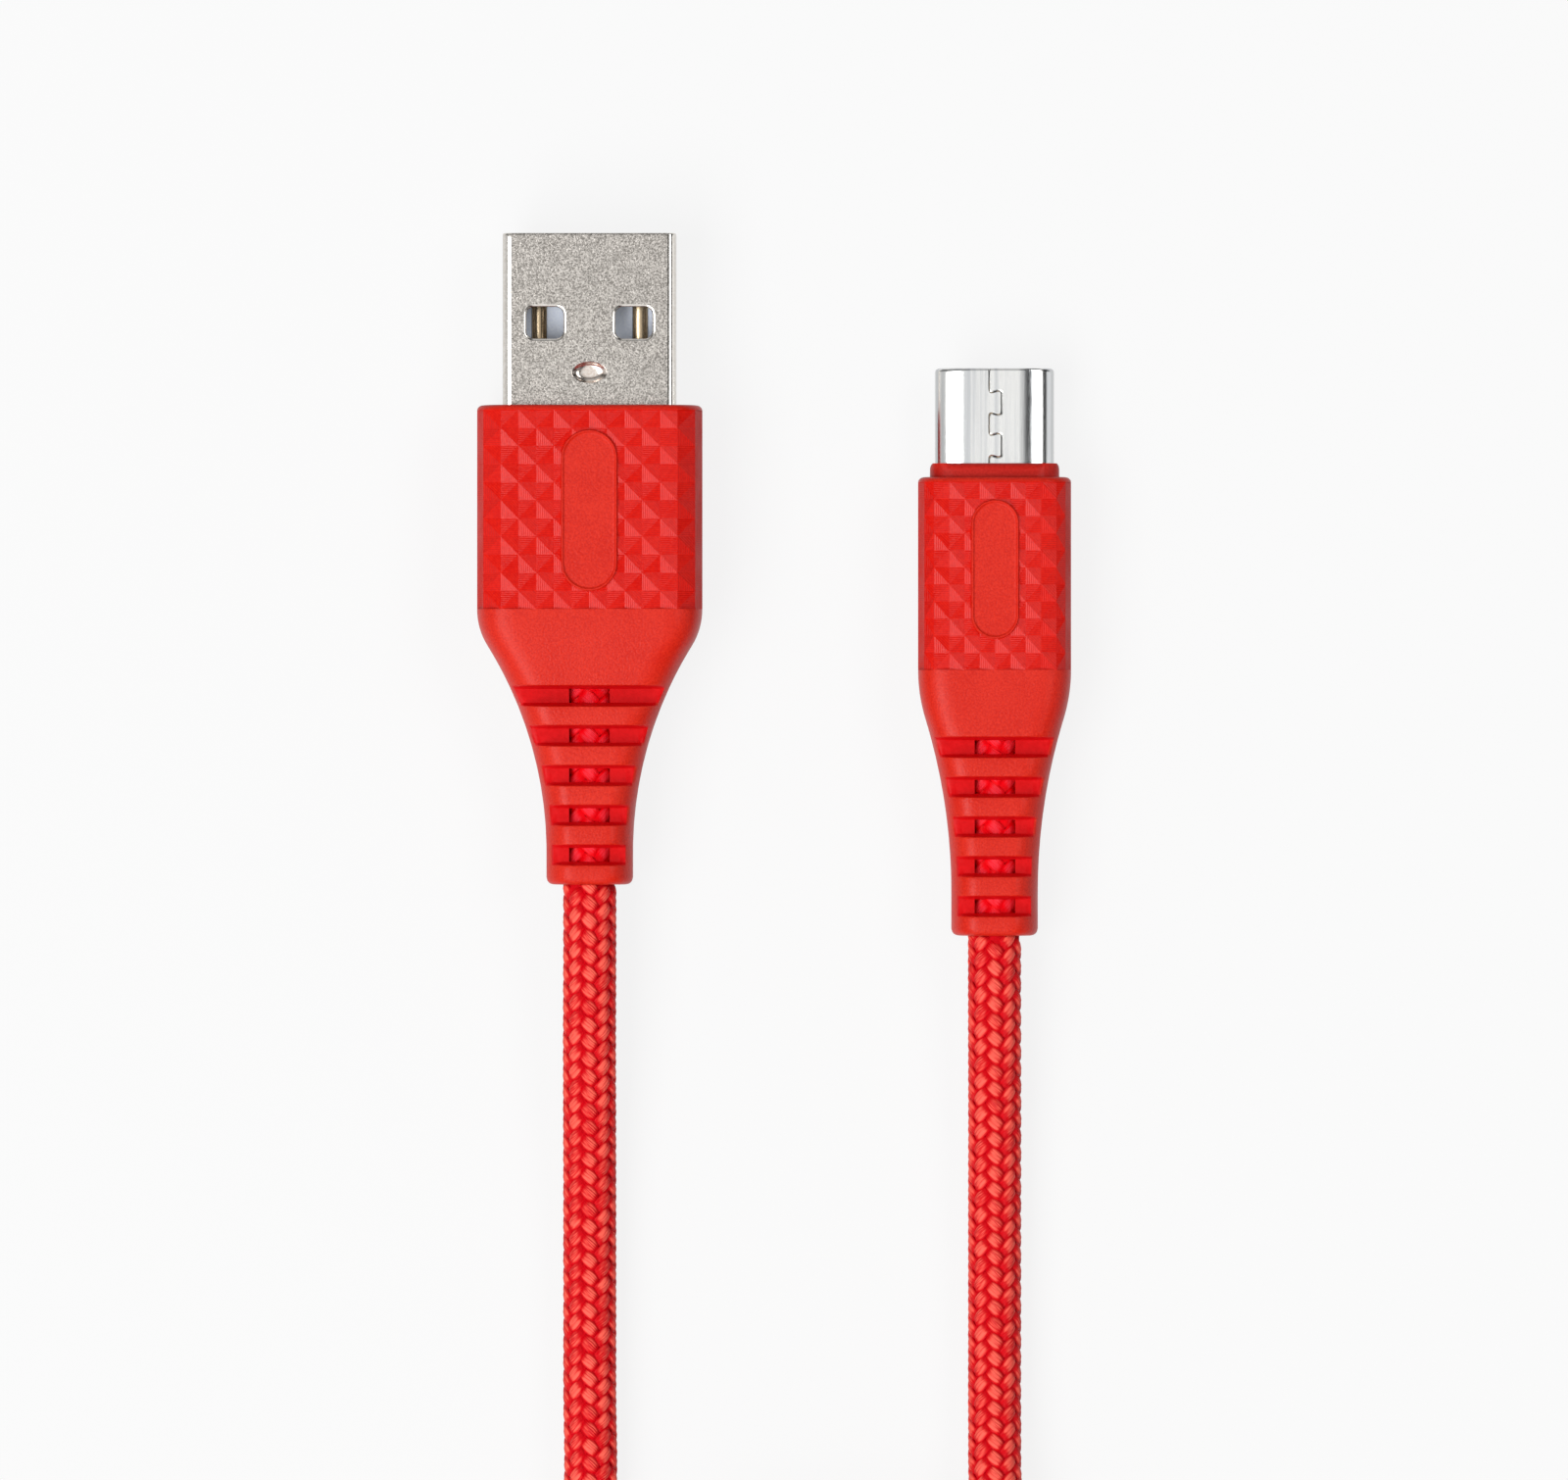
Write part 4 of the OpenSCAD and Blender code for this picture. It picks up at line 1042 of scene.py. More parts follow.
@dataclass(frozen=True)
class FreeCord:
    """The braided cord between the two boots, with its unseen length in a coil. Millimetres."""

    usb_a_exit: Point = (-12.775, -20.75, 4.0)
    usb_c_exit: Point = (15.275, -24.3, 3.2)
    diameter: float = 3.7
    coil_middle: Point = (1.25, -92.0, 2.95)
    coil_turns: float = 6.5
    coil_inner: float = 12.1
    coil_pitch: float = 4.15
    coil_steps: int = 24
    fine_length: float = 56.0
    route_step: float = 0.6
    usb_a_run: tuple[Point, ...] = (
        (-12.8, -32, 3.4), (-12.8, -40, 2.3), (-12.8, -48, 1.9), (-12.8, -56, 1.9), (-12.8, -63, 1.9),
        (-13.4, -67, 1.9), (-15.2, -71, 2), (-18.2, -75, 2.2), (-21.4, -79, 2.5), (-23.6, -83, 2.8),
    )
    usb_c_run: tuple[Point, ...] = (
        (15.3, -36, 2.4), (15.3, -44, 1.9), (15.3, -52, 1.9), (15.3, -58, 2.1), (15.4, -63, 2.7),
        (16.2, -67, 3.5), (18.2, -71, 4.4), (21.4, -75, 5.5), (24.6, -79, 6.4), (26.4, -83, 7),
    )

    def coil(self) -> np.ndarray:
        """Returns the coil's line.

        Returns:
            Points in along the lower layer and out along the upper, in millimetres.
        """
        share = np.linspace(0, 1, round(self.coil_turns * self.coil_steps) + 1)
        angle = np.pi + 2 * np.pi * self.coil_turns * share
        outer = self.coil_inner + self.coil_pitch * self.coil_turns / 2
        radius = self.coil_inner + (outer - self.coil_inner) * np.abs(1 - 2 * share)
        climb = np.clip((share - 0.5) * 2 * self.coil_turns + 0.5, 0, 1)
        height = self.coil_pitch * climb * climb * (3 - 2 * climb)
        return np.array(self.coil_middle) + np.column_stack([radius * np.cos(angle), radius * np.sin(angle), height])

    def route(self) -> np.ndarray:
        """Returns the cord's whole line.

        Returns:
            Points from the USB-A boot to the USB-C boot, in metres.
        """
        coil = self.coil()
        ahead = np.array([0, self.diameter, 0])
        first, last = coil[0] + ahead, coil[-1] + ahead
        start, end = np.array(self.usb_a_exit), np.array(self.usb_c_exit)
        points = np.vstack([
            start, start - ahead, self.usb_a_run, first + ahead / 2, first,
            coil,
            last, last + ahead / 2, self.usb_c_run[::-1], end - ahead, end,
        ])
        return smooth_route(points * MM, self.route_step * MM)

    def build(self, braid: Braid) -> bpy.types.Object:
        """Args:
            braid: the braid's sizes.

        Returns:
            The cord.
        """
        path = self.route()
        finishes = YARN.material(), SHADED_CORE.material()
        piece = braid.along("braided_cord", path, self.fine_length * MM, *finishes)
        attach(piece, Body.CABLE.value)
        declare(piece, Slot.BRAID.value, "cable_usb_a_run", "cable_coil", "cable_usb_c_run")
        return piece


# ---------------------------------------------------------------------------------------------
# Plugs


class Skin(IntEnum):
    """Material slots of a moulding."""

    SMOOTH = 0
    GRIP = 1
    # Slot floors, painted darker as shade.
    SLOT_SHADE = 2
    SIDE = 3


class Plate(IntEnum):
    """Material slots of the USB-A shell."""

    SATIN = 0
    # Rounded faces, whose paler nickel is a painted highlight.
    PAINTED_HIGHLIGHT = 1
    DISH_HIGHLIGHT = 2


@dataclass(frozen=True)
class Badge:
    """Bare pill-shaped field with a raised rim on a grip, in millimetres."""

    width: float
    length: float
    middle: float
    rim: float = 0.13
    wall: float = 0.09
    rim_height: float = 0.15
    foot: float = 0.6
    half_steps: int = 24

    def add_to(self, shape: Shape, at: Point, top: float) -> None:
        """Adds the field to a grip's shape.

        Args:
            shape: the grip's shape.
            at: middle of the end of the boot.
            top: height of the grip's upper face over the plug's axis.
        """
        rim, wall, height = self.rim, self.wall, self.rim_height
        profile = (
            (-rim, -self.foot), (-rim, -0.02), (-0.85 * rim, 0.5 * height), (-0.5 * rim, height), (0.0, height),
            (0.02, 0.9 * height), (wall, 0.03), (wall + 0.04, 0.01), (wall + 0.1, 0.01),
        )
        half = np.linspace(0, np.pi, self.half_steps + 1)
        straight = (self.length - self.width) / 2
        place = (at[0], at[1] + self.middle, at[2] + top)
        rings = []
        for inset, level in profile:
            radius = self.width / 2 - inset
            upper = np.column_stack([radius * np.cos(half), straight + radius * np.sin(half)])
            rings.append(shape.add_level(np.vstack([upper, -upper]), level, place))
        shape.add_rings(rings)
        shape.add_face(rings[-1])
        shape.add_face(rings[0][::-1])


@dataclass(frozen=True)
class Overmould:
    """Red moulding of one plug: slotted boot, smooth neck, faceted grip and front rim. Millimetres."""

    name: str
    body: Body
    at: Point
    grip_w: float
    grip_h: float
    grip_side: float
    flare_start: float
    flare_share: float
    neck_end: float
    front: float
    room_start: float
    room: Point
    mouth: Point
    row_lines: tuple[float, ...]
    column_lines: tuple[float, ...]
    first_apex: int
    badge: Badge
    facet_depth: float = 0.21
    grip_power: float = 2.8
    grip_wall: float = 0.7
    boot_w: float = 6.0
    boot_h: float = 5.8
    boot_side: float = 1.8
    boot_len: float = 14.35
    boot_round: float = 0.5
    boot_marks: tuple[float, ...] = (0.0, 0.04, 0.12, 0.25, 0.5)
    neck_rings: int = 16
    core_rings: int = 20
    least_step: float = 0.015
    bore: float = 1.9
    braid_root: float = 1.7
    braid_core: float = 1.74
    braid_gap: float = 0.2
    braid_points: int = 40
    slot_count: int = 5
    slot_pitch: float = 2.75
    slot_mouth: float = 1.4
    slot_floor_z: float = 2.0
    slot_floor: tuple[float, float] = (-0.48, 0.48)
    slot_profile: Pairs = (
        (-0.84, 0.0), (-0.76, 0.012), (-0.71, 0.06), (-0.68, 0.15), (-0.53, 0.93), (-0.48, 1.0),
        (0.48, 1.0), (0.53, 0.93), (0.68, 0.15), (0.71, 0.06), (0.76, 0.012), (0.84, 0.0),
    )
    least_cut: float = 0.1
    window: float = 1.4
    window_lines: tuple[float, ...] = (0.0, 0.35, 0.7, 1.05, 1.4, 1.46)
    side_steps: int = 15
    dense_steps: int = 599
    front_profile: Pairs = ((0.0, 0.35), (0.035, 0.2), (0.14, 0.08), (0.25, 0.02), (0.38, 0.0))
    front_wall: float = 0.6
    front_depth: float = 1.2
    front_steps: int = 40
    hatch_pitch: float = 0.145
    soft_hatch: float = 0.6

    def flare(self, y: float) -> float:
        """Returns the share of the flare that is reached at a distance along the plug.

        Args:
            y: distance from the end of the boot.

        Returns:
            0 on the boot to 1 on the grip, along a hollow arc and a crowned one.
        """
        rise = (self.grip_w - self.boot_w) / 2
        run = self.neck_end - self.flare_start
        turn = 2 * math.atan(rise / run)
        reach = run / math.sin(turn)
        hollow = self.flare_share * reach
        crown = reach - hollow
        if y <= self.flare_start:
            return 0.0
        if y <= self.flare_start + hollow * math.sin(turn):
            return (hollow - math.sqrt(hollow**2 - (y - self.flare_start) ** 2)) / rise
        if y < self.neck_end:
            return 1 - (crown - math.sqrt(crown**2 - (self.neck_end - y) ** 2)) / rise
        return 1.0

    def half_sizes(self, y: float) -> tuple[float, float, float, float]:
        """Returns the sizes of the outline at a distance along the plug.

        Args:
            y: distance from the end of the boot.

        Returns:
            Half the width, half the height, the side's depth and its power.
        """
        share = self.flare(y)
        inset = rounding(y, self.boot_round)
        boot = np.array([self.boot_w, self.boot_h, self.boot_side, 2.0])
        grip = np.array([self.grip_w, self.grip_h, self.grip_side, self.grip_power])
        width, height, side, power = (float(size) for size in boot + (grip - boot) * share)
        return width / 2 - inset, height / 2 - inset, side, power

    def columns(self, outline: np.ndarray) -> np.ndarray:
        """Returns a whole outline on fixed lines beside the windows and even steps past them.

        Args:
            outline: its upper right quarter.

        Returns:
            Rows of x and z all the way round.
        """
        dense = spread(outline, self.dense_steps)
        fixed = np.column_stack([self.window_lines, np.interp(self.window_lines, dense[:, 0], dense[:, 1])])
        rest = np.vstack([fixed[-1:], dense[dense[:, 0] > self.window_lines[-1] + 1e-6]])
        return all_round(np.vstack([fixed, spread(rest, self.side_steps)[1:]]))

    def slot_middles(self) -> list[float]:
        """Returns the distances of the slots' middles along the boot."""
        return [i * self.slot_pitch - self.slot_mouth / 2 for i in range(1, self.slot_count + 1)]

    def slot_share(self, y: float) -> float:
        """Returns how much of a slot's depth is cut at a distance along the boot.

        Args:
            y: distance from the end of the boot.

        Returns:
            0 beside the slots to 1 on a slot's floor.
        """
        places, shares = zip(*self.slot_profile)
        for middle in self.slot_middles():
            if abs(y - middle) <= places[-1]:
                return float(np.interp(y - middle, places, shares))
        return 0.0

    def stations(self) -> list[float]:
        """Returns where the outline of boot and neck is drawn.

        Returns:
            Distances from the end of the boot, in order.
        """
        marks = {*self.boot_marks, *np.linspace(self.boot_len, self.neck_end, self.neck_rings)}
        marks.update(middle + off for middle in self.slot_middles() for off, _ in self.slot_profile)
        ordered = sorted(marks)
        return [y for k, y in enumerate(ordered) if k == 0 or y - ordered[k - 1] > self.least_step]

    def add_tail(self, shape: Shape) -> None:
        """Adds the boot with its slots and windows, and the neck, as one closed wall.

        Args:
            shape: the moulding's shape.
        """
        bore = self.columns(quarter(self.bore, self.bore, self.bore))
        stations, outer, inner = self.stations(), [], []
        sunk: dict[tuple[int, int], int] = {}
        for i, y in enumerate(stations):
            ring = self.columns(quarter(*self.half_sizes(y)))
            cut = self.slot_share(y)
            over = np.maximum(0, np.abs(ring[:, 1]) - self.slot_floor_z)
            if cut > self.least_cut:
                # Faces on the slot floors take the darker slot finish, which is painted shade.
                sunk.update({(n, k): Skin.SLOT_SHADE for n in (i - 1, i) for k in np.flatnonzero(over)})
            ring[:, 1] -= np.sign(ring[:, 1]) * cut * over
            outer.append(shape.add_upright(ring, y, self.at))
            if y < self.room_start:
                inner.append(shape.add_upright(bore, y, self.at))
        room = all_round(spread(rounded_quarter(*self.room), len(bore) // 4))
        turned = ((room, self.neck_end), (room, self.room_start), (bore, self.room_start))
        rings = outer + [shape.add_upright(*ring, self.at) for ring in turned] + inner[::-1]
        width = np.abs(bore[:, 0])
        holes = np.flatnonzero(np.maximum(width, np.roll(width, -1)) < self.window + 1e-6).tolist()
        skip: set[tuple[int, int]] = set()
        for i, (low, high) in enumerate(zip(stations, stations[1:])):
            offs = [(low + high) / 2 - middle for middle in self.slot_middles()]
            if any(self.slot_floor[0] < off < self.slot_floor[1] for off in offs):
                skip.update((ring, k) for k in holes for ring in (i, len(rings) - 2 - i))
                self._add_window(shape, holes, outer[i : i + 2], inner[i : i + 2])
        shape.add_rings(rings, close=True, skip=skip, finishes=sunk)

    @staticmethod
    def _add_window(
        shape: Shape, holes: Sequence[int], outer: Sequence[Sequence[int]], inner: Sequence[Sequence[int]]
    ) -> None:
        """Adds the walls of the windows in the floor of one slot.

        Args:
            shape: the moulding's shape.
            holes: numbers of the columns that are open.
            outer: the two rings outside, before and behind the windows.
            inner: the two rings inside.
        """
        count = len(outer[0])
        for k in holes:
            n = (k + 1) % count
            for out, within in zip(outer, inner):
                shape.add_face((out[k], out[n], within[n], within[k]))
            for edge, aside in ((k, k - 1), (n, n)):
                if aside % count not in holes:
                    shape.add_face((outer[0][edge], outer[1][edge], inner[1][edge], inner[0][edge]))

    def facet_ring(self, drop: Sequence[float], inset: float = 0.0) -> np.ndarray:
        """Returns the grip's outline on the facet lines.

        Args:
            drop: distance that each line is sunk into the upper or lower face, all the way round.
            inset: distance that the whole outline stands back.

        Returns:
            Rows of x and z.
        """
        half_w, half_h, side, power = self.grip_w / 2, self.grip_h / 2, self.grip_side, self.grip_power
        x = np.array(self.column_lines)
        lean = np.clip((x - (half_w - side)) / side, 0, 1)
        ring = all_round(np.column_stack([x, half_h * (1 - lean**power) ** (1 / power)]))
        past = np.maximum(0, np.abs(ring[:, 0]) - (half_w - side)) / side
        slope = np.sign(ring) * np.column_stack([
            past ** (power - 1) / side, (np.abs(ring[:, 1]) / half_h) ** (power - 1) / half_h,
        ])
        slope /= np.linalg.norm(slope, axis=1)[:, None]
        sunk = np.sign(ring[:, 1]) * np.minimum(np.abs(ring[:, 1]), np.asarray(drop))
        return ring - slope * inset - np.column_stack([np.zeros(len(ring)), sunk])

    def add_grip(self, shape: Shape) -> None:
        """Adds the faceted sleeve: apexes and pits alternate, and each cell folds along its apexes.

        Args:
            shape: the moulding's shape.
        """
        lines = len(self.column_lines) - 1
        count = 4 * lines
        across = [lines - k if k <= 2 * lines else k - 3 * lines for k in range(count)]
        rings, insides = [], []
        for j, row in enumerate(self.row_lines):
            y = self.front - row
            drop = [0.0 if (i + j + self.first_apex) % 2 == 0 else self.facet_depth for i in across]
            rings.append(shape.add_upright(self.facet_ring(drop), y, self.at))
            insides.append(shape.add_upright(self.facet_ring([0.0] * count, self.grip_wall), y, self.at))
        for j, (ring, behind) in enumerate(zip(rings, rings[1:])):
            for k in range(count):
                n = (k + 1) % count
                corners = (ring[k], ring[n], behind[n], behind[k])
                skin = Skin.SIDE if lines in (abs(across[k]), abs(across[n])) else Skin.GRIP
                self._add_cell(shape, corners, (across[k] + j + self.first_apex) % 2 == 0, k < 2 * lines, skin)
        shape.add_rings(insides)
        for end in (0, -1):
            shape.add_rings([rings[end], insides[end]])

    def _add_cell(self, shape: Shape, corners: Sequence[int], first_high: bool, top: bool, skin: Skin) -> None:
        """Adds one cell of two facets, each with the direction of its hatching.

        Args:
            shape: the moulding's shape.
            corners: the cell's corners, front pair first.
            first_high: whether the first corner is an apex.
            top: whether the cell is on the upper face.
            skin: its material slot.
        """
        a, b, c, d = corners
        halves = ((a, b, c), (a, c, d)) if first_high else ((a, b, d), (b, c, d))
        across = first_high == top
        for number, half in enumerate(halves):
            places = [np.array(shape.points[p]) / MM for p in half]
            if number == 1 and not first_high:
                spots = [p[0] for p in places]
            elif across:
                spots = [p[1] for p in places]
            else:
                spots = [(p[0] + p[1]) / math.sqrt(2) for p in places]
            # The weight scales both the hatch's bump and the painted shade in its grooves.
            weight = 1.0 if across or number == 1 else self.soft_hatch
            shape.add_face(half, True, skin, [(spot / self.hatch_pitch, weight) for spot in spots])

    def add_front(self, shape: Shape) -> None:
        """Adds the smooth rim round the front, with the opening that the shell or collar comes out of.

        Args:
            shape: the moulding's shape.
        """

        def section(inset: float) -> np.ndarray:
            """Returns the grip's outline set back by a distance."""
            outline = quarter(self.grip_w / 2 - inset, self.grip_h / 2 - inset, self.grip_side, self.grip_power)
            return all_round(spread(outline, self.front_steps))

        hole = all_round(spread(rounded_quarter(*self.mouth), self.front_steps))
        wall, rear = section(self.front_wall), self.front - self.front_depth
        profile = [(section(inset), self.front - back) for inset, back in self.front_profile]
        profile += [(hole, self.front), (hole, rear), (wall, rear), (wall, profile[0][1])]
        shape.add_rings([shape.add_upright(*ring, self.at) for ring in profile], close=True)

    def build(self) -> bpy.types.Object:
        """Builds the moulding.

        Returns:
            The moulding.
        """
        shape = Shape()
        self.add_tail(shape)
        self.add_grip(shape)
        self.add_front(shape)
        self.badge.add_to(shape, self.at, self.grip_h / 2)
        name = f"{self.name}_moulding"
        finishes = [finish.material() for finish in (ELASTOMER, GRIP, SLOT_SHADE, GRIP_SIDE)]
        piece = place_piece(name, shape.mesh(name, mapped=True), finishes)
        self.bend(piece)
        return declare(piece, Slot.ELASTOMER.value, f"{self.name}_grip", f"{self.name}_boot")

    def bend(self, piece: bpy.types.Object) -> None:
        """Bakes a piece's placement into its mesh.

        Args:
            piece: the piece.
        """
        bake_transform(piece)

    def build_braid_end(self, braid: Braid) -> bpy.types.Object:
        """Builds the braid inside the boot, which shows in the slots' windows.

        Args:
            braid: the braid's sizes.

        Returns:
            The braid's end.
        """
        steps = np.linspace(0.0, self.room_start - self.braid_gap, self.braid_points)
        path = np.array([(self.at[0], self.at[1] + step, self.at[2]) for step in steps]) * MM
        tight = replace(braid, root=self.braid_root * MM, core=self.braid_core * MM)
        # The braid's end takes the brighter, painted-light copies of yarn and core.
        finishes = PAINTED_LIT_YARN.material(), PAINTED_LIT_CORE.material()
        piece = tight.along(f"{self.name}_braid", path, self.room_start * MM, *finishes)
        self.bend(piece)
        return declare(piece, Slot.BRAID.value, f"{self.name}_braid_end")

    def build_core(self, nodes: dict[str, bpy.types.Object]) -> None:
        """Builds copies of the jacket's end and the wires, cut into more rings along the boot.

        Args:
            nodes: the frame's nodes by name.
        """
        cuts = [(self.at[1] + step) * MM for step in np.linspace(0, self.boot_len, self.core_rings + 1)[1:]]
        for part, finish in CORE_PARTS.items():
            node = nodes[f"{self.name}_{part}"]
            piece = place_copy(refined_copy(node, (0, 1, 0), cuts), f"{node.name}_bent", finish.material())
            self.bend(piece)
            declare(piece, finish.name, node.name)


@dataclass(frozen=True)
class UsbAShell:
    """Folded and plated sheet shell of the USB-A plug, with two windows a side and a dimple. Millimetres."""

    axis: Point = (-12.775, 24.3, 4.0)
    tail: float = 18.9
    half_w: float = 6.0
    half_h: float = 2.25
    corner: float = 0.6
    sheet: float = 0.3
    window_x: float = 3.075
    window_setback: float = 6.2
    window: Point = (1.28, 1.09, 0.54)
    window_round: float = 0.17
    window_cell: tuple[float, float] = (1.58, 1.45)
    dimple_setback: float = 9.65
    dimple: tuple[float, float] = (1.22, 0.74)
    dimple_cell: float = 0.95
    dimple_profile: Pairs = (
        (1.0, 0.0), (0.96, -0.02), (0.87, -0.1), (0.76, -0.18), (0.64, -0.235), (0.5, -0.258), (0.3, -0.262),
    )
    tip_profile: Pairs = (
        (0.3, 0.0), (0.12, 0.0), (0.06, 0.015), (0.02, 0.055), (0.0, 0.11), (0.0, 0.19), (0.02, 0.245),
        (0.06, 0.285), (0.12, 0.3), (0.3, 0.3),
    )
    arc_steps: int = 10
    window_steps: int = 8
    roll_steps: int = 5
    dimple_steps: int = 36
    sharp: float = 60.0

    def lines_across(self) -> list[float]:
        """Returns the lines that divide the upper and lower plates, from right to left."""
        inner, outer = self.window_x - self.window_cell[0], self.window_x + self.window_cell[0]
        return [self.half_w - self.corner, outer, inner, -inner, -outer, self.corner - self.half_w]

    def lines_along(self) -> list[float]:
        """Returns the distances behind the tip that divide the plates.

        Returns:
            The distances, from the tail to the front.
        """
        cells = ((self.dimple_setback, self.dimple_cell), (self.window_setback, self.window_cell[1]))
        divided = [setback + sign * half for setback, half in cells for sign in (1, -1)]
        return [self.tail, *divided, self.tip_profile[0][0]]

    def section(self, inset: float) -> np.ndarray:
        """Returns the shell's outline, set back by a distance.

        Args:
            inset: the distance.

        Returns:
            Rows of x and z from the upper right all the way round.
        """
        across = np.array(self.lines_across())
        radius = self.corner - inset
        turn = np.linspace(np.pi / 2, 0, self.arc_steps + 1)[1:]
        edge, level = self.half_w - self.corner, self.half_h - self.corner
        arc = np.column_stack([edge + radius * np.cos(turn), level + radius * np.sin(turn)])
        top = np.column_stack([across, np.full(len(across), self.half_h - inset)])
        left = arc * [-1, 1]
        return np.vstack([top, left, left[::-1] * [1, -1], top[::-1] * [1, -1], arc * [1, -1], arc[::-1]])

    def window_outline(self, offset: float) -> np.ndarray:
        """Returns a window's outline, grown by a distance.

        Args:
            offset: the distance.

        Returns:
            Rows of x and y from the middle of the first corner.
        """
        half_x, half_y, radius = self.window
        parts = []
        for number, (sx, sy) in enumerate(((1, 1), (-1, 1), (-1, -1), (1, -1))):
            turn = np.linspace(0, np.pi / 2, self.window_steps + 1) + number * np.pi / 2
            parts.append(np.column_stack([
                sx * (half_x - radius) + (radius + offset) * np.cos(turn),
                sy * (half_y - radius) + (radius + offset) * np.sin(turn),
            ]))
        return np.roll(np.vstack(parts), -self.window_steps // 2, axis=0)

    @staticmethod
    def add_hole(shape: Shape, corners: Sequence[int], rim: Sequence[int]) -> None:
        """Adds the flat part of a cell round a hole.

        Args:
            shape: the shell's shape.
            corners: the cell's corners from the upper right round by the left.
            rim: the hole's points in the same order, from the one nearest the first corner.
        """
        step = len(rim) // 4
        for c in range(4):
            part = [rim[(c * step + m) % len(rim)] for m in range(step + 1)]
            shape.add_face([corners[c], corners[(c + 1) % 4], *part[::-1]], flat=True)

    def add_window(self, shape: Shape, outer: Sequence[int], inner: Sequence[int], x: float, side: int) -> None:
        """Adds one window with its rolled edge.

        Args:
            shape: the shell's shape.
            outer: corners of its cell on the outside.
            inner: corners of its cell on the inside.
            x: its middle across the plug.
            side: 1 on the upper plate and -1 on the lower.
        """
        roll, top = self.window_round, self.half_h
        turns = np.linspace(0, np.pi / 2, self.roll_steps + 1)
        profile = [(roll * (1 - math.sin(turn)), top - roll * (1 - math.cos(turn))) for turn in turns]
        profile.append((0.0, top - self.sheet))
        place = np.array([x, -self.window_setback])
        rings = [shape.add_level(self.window_outline(off) + place, side * z, self.axis) for off, z in profile]
        shape.add_rings(rings)
        self.add_hole(shape, outer, rings[0])
        self.add_hole(shape, inner, rings[-1])

    def add_dimple(self, shape: Shape, corners: Sequence[int]) -> None:
        """Adds the pressed dish behind the windows.

        Args:
            shape: the shell's shape.
            corners: corners of its cell.
        """
        turn = np.radians(45 + 360 / self.dimple_steps * np.arange(self.dimple_steps))
        oval = np.column_stack([np.cos(turn), np.sin(turn)]) * self.dimple
        place = np.array([0.0, -self.dimple_setback])
        rings = [
            shape.add_level(oval * share + place, self.half_h + drop, self.axis)
            for share, drop in self.dimple_profile
        ]
        # The dimple's faces take the dimple nickel, a painted highlight and reflection.
        dished = {(i, k): Plate.DISH_HIGHLIGHT for i in range(len(rings)) for k in range(self.dimple_steps)}
        shape.add_rings(rings, finishes=dished)
        shape.add_face(rings[-1], finish=Plate.DISH_HIGHLIGHT)
        self.add_hole(shape, corners, rings[0])

    def build(self) -> bpy.types.Object:
        """Builds the shell as one closed sheet.

        Returns:
            The shell.
        """
        shape = Shape()
        along = self.lines_along()
        levels = [(s, 0.0) for s in along[:-1]] + list(self.tip_profile) + [(s, self.sheet) for s in along[-2::-1]]
        rings = [shape.add_upright(self.section(inset), -setback, self.axis) for setback, inset in levels]
        columns = len(self.lines_across())
        under = columns + 2 * self.arc_steps
        window_row, inner_row, dimple_cell = 3, len(rings) - 5, (1, 2)

        def cell(ring: int, column: int) -> list[int]:
            """Returns a cell's corners.

            Args:
                ring: number of its first ring.
                column: number of its first column.

            Returns:
                The corners from the upper right round by the left.
            """
            front, back = (ring + 1, ring) if ring < len(along) else (ring, ring + 1)
            right, left = (column, column + 1) if column < columns else (column + 1, column)
            return [rings[front][right], rings[front][left], rings[back][left], rings[back][right]]

        skip = {dimple_cell}
        for column, side, hand in ((1, 1, 1), (3, 1, -1), (under + 1, -1, -1), (under + 3, -1, 1)):
            skip.update({(window_row, column), (inner_row, column)})
            outer, inner = cell(window_row, column), cell(inner_row, column)
            self.add_window(shape, outer, inner, hand * self.window_x, side)
        self.add_dimple(shape, cell(*dimple_cell))
        flat = {*range(columns - 1), *range(under, under + columns - 1)}
        shape.add_rings(rings, close=True, skip=skip, flat=flat)
        # Flat plates stay satin; rounded faces take the paler nickel, a painted highlight.
        shape.finish = [
            made or (Plate.SATIN if level else Plate.PAINTED_HIGHLIGHT) for made, level in zip(shape.finish, shape.flat)
        ]
        finishes = [finish.material() for finish in (NICKEL, NICKEL_HIGHLIGHT, DISH_HIGHLIGHT)]
        piece = place_piece("usb_a_shell_plated", shape.mesh("usb_a_shell_plated"), finishes, self.sharp)
        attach(piece, Body.USB_A.value)
        return declare(piece, Slot.NICKEL.value, "usb_a_shell")


def filleted(points: Sequence[Sequence[float]], radius: float, steps: int = 5) -> np.ndarray:
    """Returns a line with its corners rounded.

    Args:
        points: the line's corners.
        radius: length of each corner that is rounded off.
        steps: steps round a corner.

    Returns:
        Points of the rounded line.
    """
    line = np.asarray(points, dtype=float)
    made = [line[0]]
    for before, corner, after in zip(line, line[1:], line[2:]):
        back, ahead = before - corner, after - corner
        first = corner + back / np.linalg.norm(back) * radius
        second = corner + ahead / np.linalg.norm(ahead) * radius
        for t in np.linspace(0, 1, steps + 1):
            made.append((1 - t) ** 2 * first + 2 * t * (1 - t) * corner + t**2 * second)
    return np.array([*made, line[-1]])


